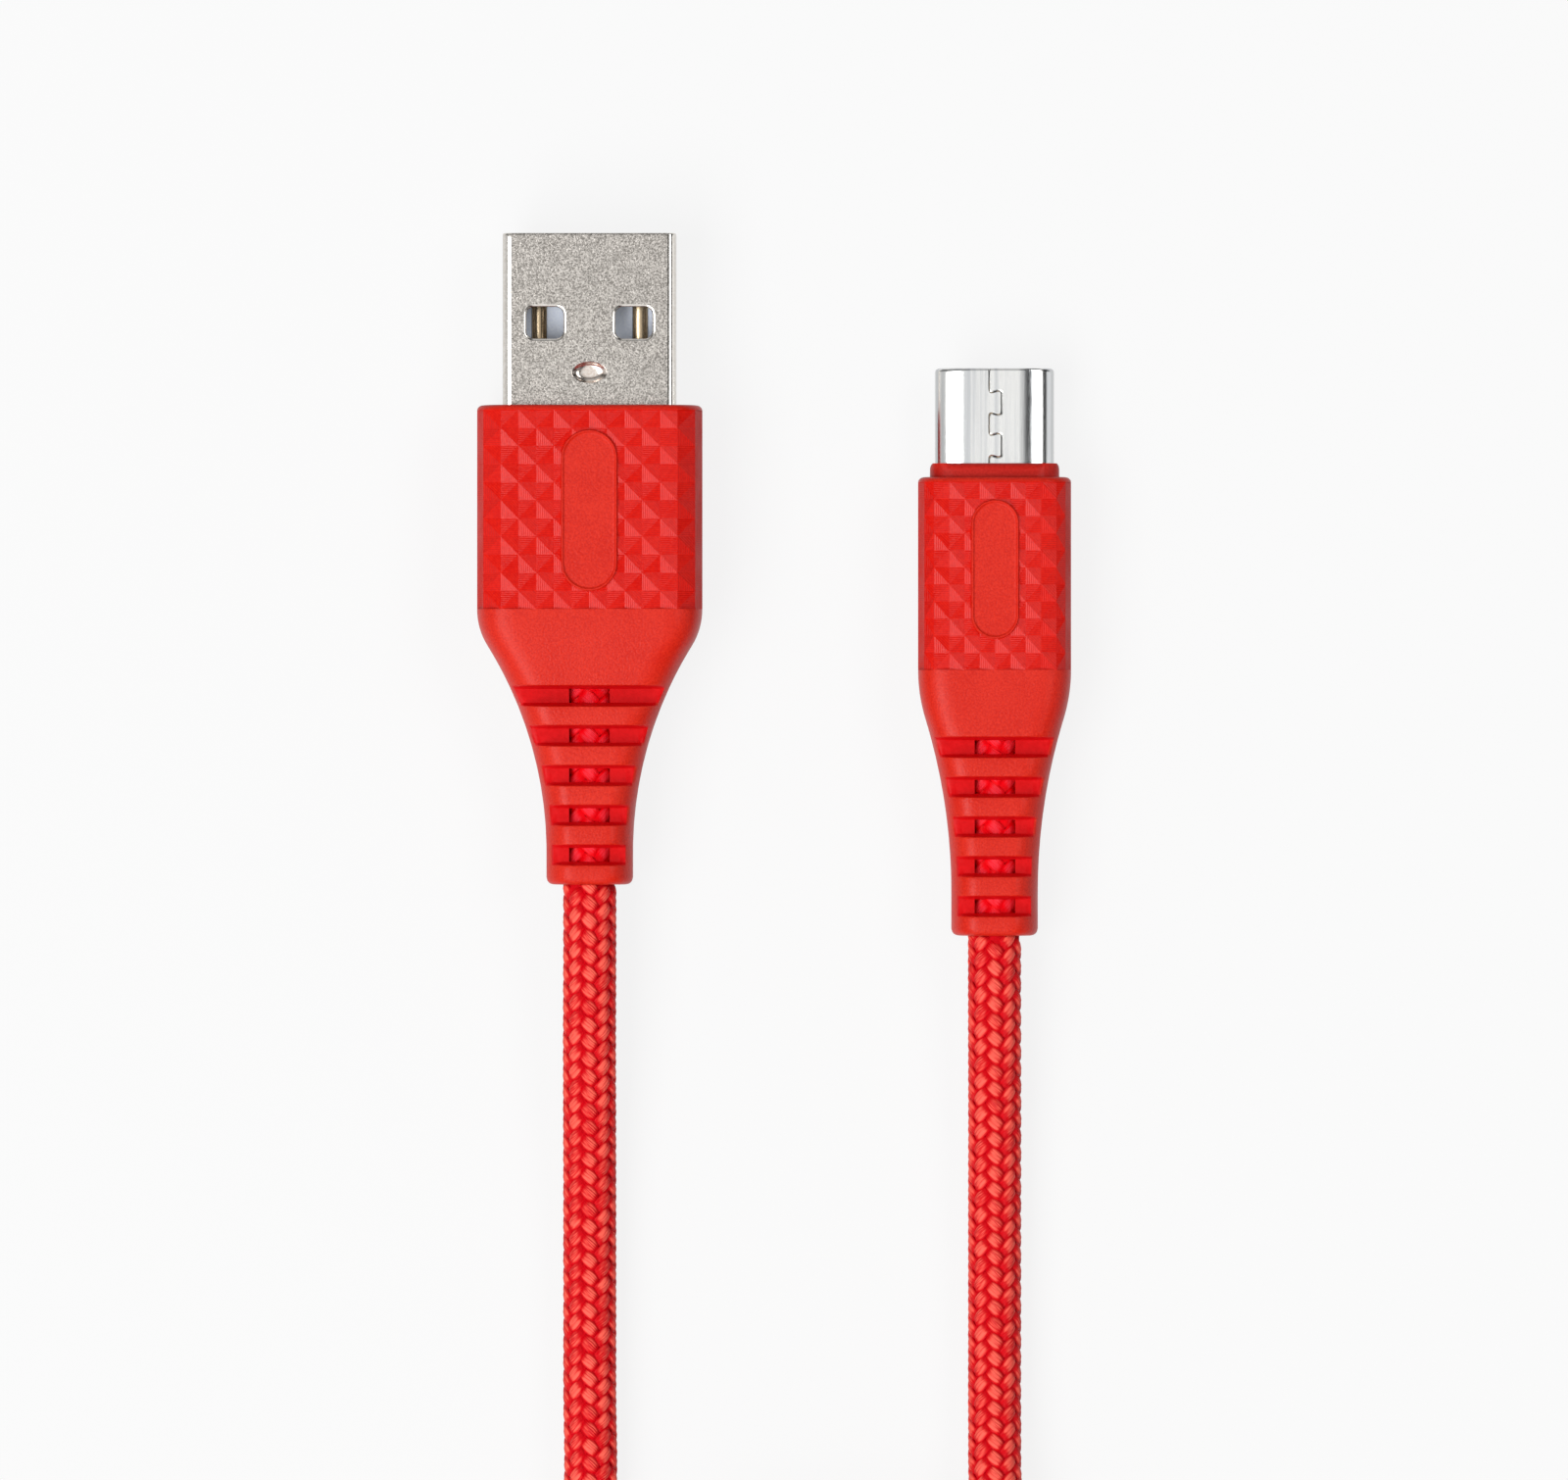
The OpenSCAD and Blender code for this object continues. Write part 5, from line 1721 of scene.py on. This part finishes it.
@dataclass(frozen=True)
class UsbCShell:
    """Rolled tube shell of the USB-C plug, whose seam is closed by two dovetails. Millimetres."""

    axis: Point = (15.275, 15.0, 3.2)
    tail: float = 13.1
    half_w: float = 4.125
    half_h: float = 1.2
    side: float = 2.4
    inner_side: float = 0.95
    sheet: float = 0.25
    seam_x: float = -0.39
    seam: float = 0.07
    reach: float = 0.86
    root: float = 0.65
    head: float = 0.875
    setbacks: tuple[float, float] = (2.4, 5.35)
    fillet: float = 0.3
    right_edge: tuple[float, float] = (0.075, 0.04)
    left_edge: tuple[float, float] = (0.03, 0.015)
    tip_profile: tuple[Point, ...] = (
        (0.5, 0.0, 0.0), (0.26, 0.0, 0.0), (0.17, 0.02, 0.0), (0.1, 0.065, 0.008), (0.045, 0.14, 0.035),
        (0.01, 0.24, 0.08), (0.0, 0.33, 0.14), (0.02, 0.4, 0.22), (0.14, 0.38, 0.25), (0.3, 0.31, 0.25),
        (0.42, 0.25, 0.25), (0.5, 0.25, 0.25),
    )
    arc_steps: int = 14
    sharp: float = 50.0

    def section(self, inset: float, lower: float) -> np.ndarray:
        """Returns the tube's outline, drawn in sideways and downwards.

        Args:
            inset: distance that it is drawn in.
            lower: distance that it is lowered.

        Returns:
            Rows of x and z from right of the seam round to its left.
        """
        half_w, half_h = self.half_w - inset, self.half_h - lower
        side = self.side - inset if lower < self.sheet else self.inner_side
        depth = max(0.0, 1 - lower / self.sheet)
        turn = np.linspace(np.pi / 2, 0, self.arc_steps + 1)
        arc = np.column_stack([half_w - side + side * np.cos(turn), half_h * np.sin(turn)])
        right, left = self.seam_x + self.seam / 2, self.seam_x - self.seam / 2
        around = np.vstack([arc, arc[-2::-1] * [1, -1], arc * [-1, -1], arc[-2::-1] * [-1, 1]])
        return np.vstack([
            [[right, half_h - depth * self.right_edge[1]], [right + self.right_edge[0], half_h]],
            around,
            [[left - self.left_edge[0], half_h], [left, half_h - depth * self.left_edge[1]]],
        ])

    def seam_line(self) -> tuple[np.ndarray, np.ndarray]:
        """Returns the seam's line.

        Returns:
            Its points from front to tail, and the direction to the right at each.
        """
        corners = [(self.seam_x, -self.tip_profile[0][0])]
        for setback in self.setbacks:
            corners += [
                (self.seam_x, self.root - setback), (self.seam_x + self.reach, self.head - setback),
                (self.seam_x + self.reach, -self.head - setback), (self.seam_x, -self.root - setback),
            ]
        line = filleted([*corners, (self.seam_x, -self.tail)], self.fillet)
        ahead = np.gradient(line, axis=0)
        ahead /= np.linalg.norm(ahead, axis=1)[:, None]
        return line, np.column_stack([-ahead[:, 1], ahead[:, 0]])

    def add_side(self, shape: Shape, rings: Sequence[Sequence[int]], sign: int, edge: tuple[float, float]) -> None:
        """Adds the plate and the edge on one side of the seam, outside and inside.

        Args:
            shape: the shell's shape.
            rings: the tube's rings, the tail's first and last.
            sign: 1 on the right of the seam and -1 on its left.
            edge: width and depth of the seam's edge.
        """
        line, right = self.seam_line()
        brink, crest, plate = (0, 1, 2) if sign > 0 else (-1, -2, -3)
        tail, front, front_in, tail_in = rings[0], rings[1], rings[-2], rings[-1]

        def outline(offset: float, z: float) -> list[int]:
            """Adds the seam's line beside itself, without its ends, which the rings have."""
            return shape.add_level((line + sign * right * offset)[1:-1], z, self.axis)

        top = [front[crest], *outline(self.seam / 2 + edge[0], self.half_h), tail[crest]]
        lip = [front[brink], *outline(self.seam / 2, self.half_h - edge[1]), tail[brink]]
        foot = [front_in[brink], *outline(self.seam / 2, self.half_h - self.sheet), tail_in[brink]]
        shape.add_face([front[plate], *top, tail[plate]], flat=True)
        shape.add_face([front_in[plate], front_in[crest], *foot, tail_in[crest], tail_in[plate]], flat=True)
        shape.add_rings([top, lip, foot], wrap=False)
        shape.add_face([ring[brink] for ring in rings[1:-1]], flat=True)
        for near, far in ((brink, crest), (crest, plate)):
            shape.add_face([tail[near], tail[far], tail_in[far], tail_in[near]], flat=True)

    def build(self) -> bpy.types.Object:
        """Builds the shell as one closed sheet.

        Returns:
            The shell.
        """
        shape = Shape()
        levels = [(self.tail, 0.0, 0.0), *self.tip_profile, (self.tail, self.sheet, self.sheet)]
        rings = [shape.add_upright(self.section(*insets), -setback, self.axis) for setback, *insets in levels]
        count, last = len(rings[0]), len(rings) - 1
        seam_columns = (0, 1, count - 3, count - 2)
        skip = {(i, k) for i in (0, last - 1, last) for k in seam_columns}
        shape.add_rings(rings, close=True, skip=skip, flat={1, count - 3}, wrap=False)
        self.add_side(shape, rings, 1, self.right_edge)
        self.add_side(shape, rings, -1, self.left_edge)
        finishes = [STEEL.material()]
        piece = place_piece("usb_c_shell_drawn", shape.mesh("usb_c_shell_drawn"), finishes, self.sharp)
        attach(piece, Body.USB_C.value)
        return declare(piece, Slot.STAINLESS.value, "usb_c_shell")


@dataclass(frozen=True)
class UsbCCollar:
    """Inner mould of the USB-C plug, whose collar shows in front of the grip. Millimetres."""

    axis_x: float = 15.275
    axis_z: float = 3.2
    tip: float = 8.4
    radius: float = 0.45
    half_w: float = 4.475
    half_h: float = 2.4
    margin: float = 0.15
    sideways: float = 0.45
    cuts: tuple[float, ...] = (0.1, 0.25, 0.45, 0.7, 1.0)
    mouth: tuple[float, float] = (4.175, 1.25)
    mouth_side: float = 2.45
    mouth_back: float = 2.2
    mouth_cuts: int = 6
    near: float = 0.02
    face_depth: float = 0.01

    def round_tip(self, work: bmesh.types.BMesh) -> None:
        """Draws the outer points near the tip in towards the axis, less so sideways.

        Args:
            work: the mould as an open mesh.
        """
        for vert in work.verts:
            gap = self.tip - vert.co.y / MM
            x, z = vert.co.x / MM - self.axis_x, vert.co.z / MM - self.axis_z
            inside = abs(x) < self.half_w - self.margin and abs(z) < self.half_h - self.margin
            if gap >= self.radius or inside:
                continue
            inset = rounding(max(0.0, gap), self.radius)
            reach_x = x - math.copysign(min(abs(x), self.half_w - self.half_h), x)
            reach = math.hypot(reach_x, z) or 1.0
            vert.co.x -= reach_x / reach * inset * self.sideways * MM
            vert.co.z -= z / reach * inset * MM

    def fit_mouth(self, work: bmesh.types.BMesh) -> None:
        """Draws the mouth's edge in to the shell, whose sides are flatter than the frame's.

        Args:
            work: the mould as an open mesh.
        """
        half_w, half_h = self.mouth
        flat = half_w - self.mouth_side
        lines = np.linspace(flat, half_w - half_h, self.mouth_cuts)
        cut_across(work, (1, 0, 0), [(self.axis_x + sign * line) * MM for line in lines for sign in (-1, 1)])
        for vert in work.verts:
            x, z = abs(vert.co.x / MM - self.axis_x), vert.co.z / MM - self.axis_z
            past = max(0.0, x - (half_w - half_h))
            if vert.co.y < self.mouth_back * MM or abs(math.hypot(past, z) - half_h) > self.near:
                continue
            share = max(0.0, x - flat) / self.mouth_side
            vert.co.z = (self.axis_z + math.copysign(half_h * math.sqrt(max(0.0, 1 - share**2)), z)) * MM

    def build(self, node: bpy.types.Object) -> bpy.types.Object:
        """Builds the mould from the frame's own mould, with its front edge rounded.

        Args:
            node: the frame's mould.

        Returns:
            The mould.
        """
        work = refined_copy(node, (0, 1, 0), [(self.tip - share * self.radius) * MM for share in self.cuts])
        self.round_tip(work)
        self.fit_mouth(work)
        for face in work.faces:
            face.smooth = any(vert.co.y < (self.tip - self.face_depth) * MM for vert in face.verts)
        piece = place_copy(work, "usb_c_collar", COLLAR.material())
        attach(piece, Body.USB_C.value)
        return declare(piece, Slot.COLLAR.value, node.name)


def build_crowned(node: bpy.types.Object, drop: float = 0.14) -> bpy.types.Object:
    """Builds a copy of a stamped USB-A contact that is crowned across its width.

    Args:
        node: the frame's contact.
        drop: distance that its long edges stand lower than its middle, in millimetres.

    Returns:
        The contact.
    """
    low, high = (corner[0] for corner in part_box(node.name))
    middle, half = (low + high) / 2, (high - low) / 2
    work = refined_copy(node, (1, 0, 0), [middle + half * share for share in CROWN_CUTS])
    for vert in work.verts:
        vert.co.z -= drop * MM * ((vert.co.x - middle) / half) ** 2
    piece = place_copy(work, f"{node.name}_stamped", GOLD.material())
    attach(piece, Body.USB_A.value)
    return declare(piece, Slot.GOLD.value, node.name)


@dataclass(frozen=True)
class CoilTie:
    """Woven strap round the far side of the coil, with its end laid over itself. Millimetres."""

    width: float = 8.0
    thick: float = 0.8
    round: float = 1.5
    edge: float = 0.22
    flap_thick: float = 0.8
    flap_reach: float = 0.62
    near_top: float = 0.02
    quarter_steps: int = 30
    weave: float = 0.9
    tone: float = 0.5

    def build(self, node: bpy.types.Object) -> bpy.types.Object:
        """Builds the strap.

        Args:
            node: the frame's tie.

        Returns:
            The strap.
        """
        low, high = (np.array(corner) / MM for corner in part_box(node.name))
        middle = (low + high) / 2
        _, half_y, half_z = (high - low) / 2 - self.thick / 2
        corner = rounded_quarter(2 * half_y, 2 * half_z, self.round + self.thick / 2)
        line = all_round(spread(corner, self.quarter_steps))
        ahead = np.roll(line, -1, axis=0) - np.roll(line, 1, axis=0)
        outward = np.column_stack([ahead[:, 1], -ahead[:, 0]]) / np.linalg.norm(ahead, axis=1)[:, None]
        top = (line[:, 1] > half_z - self.near_top) & (np.abs(line[:, 0]) < half_y * self.flap_reach)
        shape = Shape()
        band = self._add_ribbon(shape, line, outward, middle, self.thick)
        shape.add_rings(band, close=True)
        flap_line = line[top] + outward[top] * self.thick
        flap = self._add_ribbon(shape, flap_line, outward[top], middle, self.thick * self.flap_thick)
        shape.add_rings(flap)
        shape.add_face(flap[0][::-1])
        shape.add_face(flap[-1])
        mesh = shape.mesh("coil_tie_strap")
        yarn = mesh.uv_layers.new(name="yarn")
        for loop in mesh.loops:
            x, y, z = np.array(mesh.vertices[loop.vertex_index].co) / MM
            yarn.data[loop.index].uv = ((y + z) * self.weave, (x - middle[0]) / self.width + 0.5)
        tone = mesh.attributes.new("tone", "FLOAT", "POINT")
        tone.data.foreach_set("value", [self.tone] * len(mesh.vertices))
        piece = place_piece("coil_tie_strap", mesh, [STRAP.material()])
        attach(piece, Body.CABLE.value)
        return declare(piece, Slot.TIE.value, node.name)

    def _add_ribbon(
        self, shape: Shape, line: np.ndarray, outward: np.ndarray, middle: np.ndarray, thick: float
    ) -> list[list[int]]:
        """Adds cross-sections with soft edges along a line.

        Args:
            shape: the strap's shape.
            line: rows of y and z round the tie's middle.
            outward: direction away from the coil at each.
            middle: the tie's middle.
            thick: the ribbon's thickness.

        Returns:
            The numbers of each section's points.
        """
        half, edge, rise = self.width / 2, self.edge, thick / 2
        side = np.array([(half - edge, -rise), (half, -rise + edge), (half, rise - edge), (half - edge, rise)])
        section = np.vstack([side[::-1] * [-1, 1], side])
        rings = []
        for spot, out in zip(line, outward):
            points = [(middle[0] + x, *(middle[1:] + spot + out * height)) for x, height in section]
            rings.append(shape.add_points(np.array(points) * MM))
        return rings


# ---------------------------------------------------------------------------------------------
# Inner pieces

SHOWN_NODES: dict[str, Finish] = {
    "usb_a_carrier": PALE,
    "usb_a_inner_mould": MOULD,
    "usb_a_wire_tips": COPPER,
    "usb_c_nose": DARK,
    "usb_c_contacts_upper": GOLD,
    "usb_c_contacts_lower": GOLD,
    "usb_c_latch_left": STEEL,
    "usb_c_latch_right": STEEL,
    "usb_c_board": BOARD,
    "usb_c_resistor": RESISTOR,
    "usb_c_wire_tips": COPPER,
}


def dress_inner_pieces(nodes: dict[str, bpy.types.Object]) -> None:
    """Gives every node that stays shown its own finish.

    Args:
        nodes: the frame's nodes by name.
    """
    for name, finish in SHOWN_NODES.items():
        slots = nodes[name].material_slots
        material = finish.material()
        if len(slots) == 0:
            nodes[name].data.materials.append(material)
        for place in slots:
            place.material = material
        LOG.info("%s dressed in %s", name, finish.name)


# ---------------------------------------------------------------------------------------------
# Studio


@dataclass(frozen=True)
class Softbox:
    """A rectangular area lamp that faces straight down, in metres and watts."""

    name: str
    place: Point
    size: tuple[float, float]
    power: float

    def build(self) -> None:
        """Adds the lamp."""
        lamp = bpy.data.lights.new(self.name, "AREA")
        lamp.shape = "RECTANGLE"
        lamp.size, lamp.size_y = self.size
        lamp.energy = self.power
        add_object(self.name, lamp).location = self.place


@dataclass(frozen=True)
class Studio:
    """Camera, lamps, world and pale floor."""

    centre: tuple[float, float] = (0.68 * MM, -10.75 * MM)
    view_width: float = 108.47 * MM
    plane: float = 5.5 * MM
    distance: float = 1.1
    sensor: float = 36.0
    clip: tuple[float, float] = (0.01, 20.0)
    floor_half: float = 3.0
    floor_drop: float = 0.06 * MM
    white: float = 0.94
    shadowless: float = 0.9
    gloss_floor: float = 0.78
    dim_floor: float = 0.25
    lamps: tuple[Softbox, ...] = (
        Softbox("key_left", (-0.555, -0.47, 0.84), (0.66, 1.1), 11.5),
        Softbox("strip_right", (0.674, 0.32, 0.91), (0.537, 0.94), 5.3),
    )
    sky_across: Pairs = (
        (-1.0, 0.62), (-0.79, 0.62), (-0.765, 0.1), (-0.74, 0.1), (-0.7, 0.6), (-0.5, 0.9), (-0.27, 0.9),
        (-0.12, 0.8), (0.0, 1.0), (0.1, 0.9), (0.18, 0.04), (0.39, 0.0), (0.44, 0.3), (0.7, 0.3),
        (0.735, 0.02), (0.89, 0.02), (0.92, 1.0), (1.0, 1.0),
    )
    sky_along: Pairs = ((-1.0, 1.0), (0.14, 1.0), (0.3, 0.22), (0.5, 0.22), (0.75, 0.6), (1.0, 0.6))

    def build(self) -> None:
        """Sets up the whole studio."""
        self._camera()
        self._world()
        self._floor()
        for lamp in self.lamps:
            lamp.build()
        bpy.context.scene.view_settings.view_transform = "Standard"

    def _camera(self) -> None:
        """Adds the camera that looks straight down."""
        camera = bpy.data.cameras.new("camera")
        camera.sensor_width = self.sensor
        camera.lens = self.sensor * self.distance / self.view_width
        camera.clip_start, camera.clip_end = self.clip
        holder = add_object("camera", camera)
        holder.location = (*self.centre, self.plane + self.distance)
        bpy.context.scene.camera = holder

    def _world(self) -> None:
        """Sets a sky that is bright overhead, dark to its right, and white to the camera."""
        world = bpy.data.worlds.new("studio")
        world.use_nodes = True
        bpy.context.scene.world = world
        net = Net(world.node_tree)
        net.tree.nodes.clear()
        across, along, _ = net.split(net.get("ShaderNodeTexCoord", "Generated"))
        level = self._ramp(net, across, self.sky_across) * self._ramp(net, along, self.sky_along)
        shown = net.mixed(net.get("ShaderNodeLightPath", "Is Camera Ray"), level, grey(self.white))
        background = net.add("ShaderNodeBackground", {"Color": shown, "Strength": 1.0})
        net.add("ShaderNodeOutputWorld", {0: background})

    @staticmethod
    def _ramp(net: Net, direction: Value, stops: Pairs) -> Value:
        """Adds a level that changes with one part of a direction.

        Args:
            net: the world's node helper.
            direction: the part, from -1 to 1.
            stops: level at places from -1 to 1, in order.

        Returns:
            The level.
        """
        ramp = net.add("ShaderNodeValToRGB", {0: net.math("MULTIPLY_ADD", direction, 0.5, 0.5)})
        made = ramp.color_ramp.elements
        for number, (place, level) in enumerate(stops):
            stop = made[number] if number < 2 else made.new(place * 0.5 + 0.5)
            stop.position = place * 0.5 + 0.5
            stop.color = grey(level)
        return net.outs(ramp)["Color"]

    def _floor(self) -> None:
        """Adds the floor, white to the camera, greyer to reflections and to scattered light."""
        reach = self.floor_half
        corners = [(-reach, -reach, 0), (reach, -reach, 0), (reach, reach, 0), (-reach, reach, 0)]
        mesh = bpy.data.meshes.new("floor")
        mesh.from_pydata(corners, [], [(0, 1, 2, 3)])
        floor = add_object("floor", mesh)
        floor.location.z = -self.floor_drop
        material = bpy.data.materials.new("floor")
        material.use_nodes = True
        mesh.materials.append(material)
        net = Net(material.node_tree)
        net.tree.nodes.clear()
        rays = net.outs(net.add("ShaderNodeLightPath"))
        seen = net.math("MAXIMUM", rays["Is Camera Ray"], rays["Is Transmission Ray"])
        shade = net.add("ShaderNodeBsdfDiffuse", {"Color": grey(self.white)})
        glow = net.add("ShaderNodeEmission", {"Color": grey(self.white), "Strength": 1.0})
        pale = net.add("ShaderNodeMixShader", {0: self.shadowless, 1: shade, 2: glow})
        dim = net.add("ShaderNodeBsdfDiffuse", {"Color": grey(self.dim_floor)})
        mirrored = net.add("ShaderNodeEmission", {"Color": grey(self.gloss_floor), "Strength": 1.0})
        unseen = net.add("ShaderNodeMixShader", {0: rays["Is Glossy Ray"], 1: dim, 2: mirrored})
        net.add("ShaderNodeOutputMaterial", {0: net.add("ShaderNodeMixShader", {0: seen, 1: unseen, 2: pale})})


# ---------------------------------------------------------------------------------------------
# The cable

USB_A_MOULD = Overmould(
    name="usb_a",
    body=Body.USB_A,
    at=(-12.775, -20.75, 4.0),
    grip_w=15.6,
    grip_h=8.0,
    grip_side=2.6,
    flare_start=2.2,
    flare_share=0.85,
    neck_end=19.05,
    front=33.15,
    room_start=16.7,
    room=(10.5, 4.7, 1.05),
    mouth=(12.1, 4.6, 0.65),
    row_lines=tuple(0.35 + k * 1.25 for k in range(12)),
    column_lines=(0.0, 1.22, 2.44, 3.66, 4.88, 6.1, 7.32, 7.8),
    first_apex=0,
    badge=Badge(width=3.65, length=10.9, middle=25.85),
)
USB_C_MOULD = Overmould(
    name="usb_c",
    body=Body.USB_C,
    at=(15.275, -24.3, 3.2),
    grip_w=10.6,
    grip_h=6.4,
    grip_side=2.4,
    flare_start=3.0,
    flare_share=0.78,
    neck_end=18.4,
    front=31.75,
    room_start=17.35,
    room=(9.05, 4.9, 1.85),
    mouth=(9.05, 4.9, 1.85),
    row_lines=tuple(0.35 + k * 13.0 / 11 for k in range(12)),
    column_lines=(0.0, 1.06, 2.12, 3.18, 4.24, 4.88, 5.3),
    first_apex=1,
    badge=Badge(width=3.05, length=9.4, middle=25.35),
)
USB_A_CONTACTS = ("supply", "data_minus", "data_plus", "ground")


def main() -> None:
    """Builds the cable's pieces in order."""
    logging.basicConfig(level=logging.INFO, format="%(name)s: %(message)s")
    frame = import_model()
    nodes = frame["nodes"]
    Studio().build()
    braid = Braid()
    FreeCord().build(braid)
    for mould in (USB_A_MOULD, USB_C_MOULD):
        mould.build()
        mould.build_braid_end(braid)
        mould.build_core(nodes)
    UsbAShell().build()
    for name in USB_A_CONTACTS:
        build_crowned(nodes[f"usb_a_contact_{name}"])
    UsbCShell().build()
    UsbCCollar().build(nodes["usb_c_inner_mould"])
    CoilTie().build(nodes["coil_tie"])
    dress_inner_pieces(nodes)


if __name__ == "__main__":
    main()
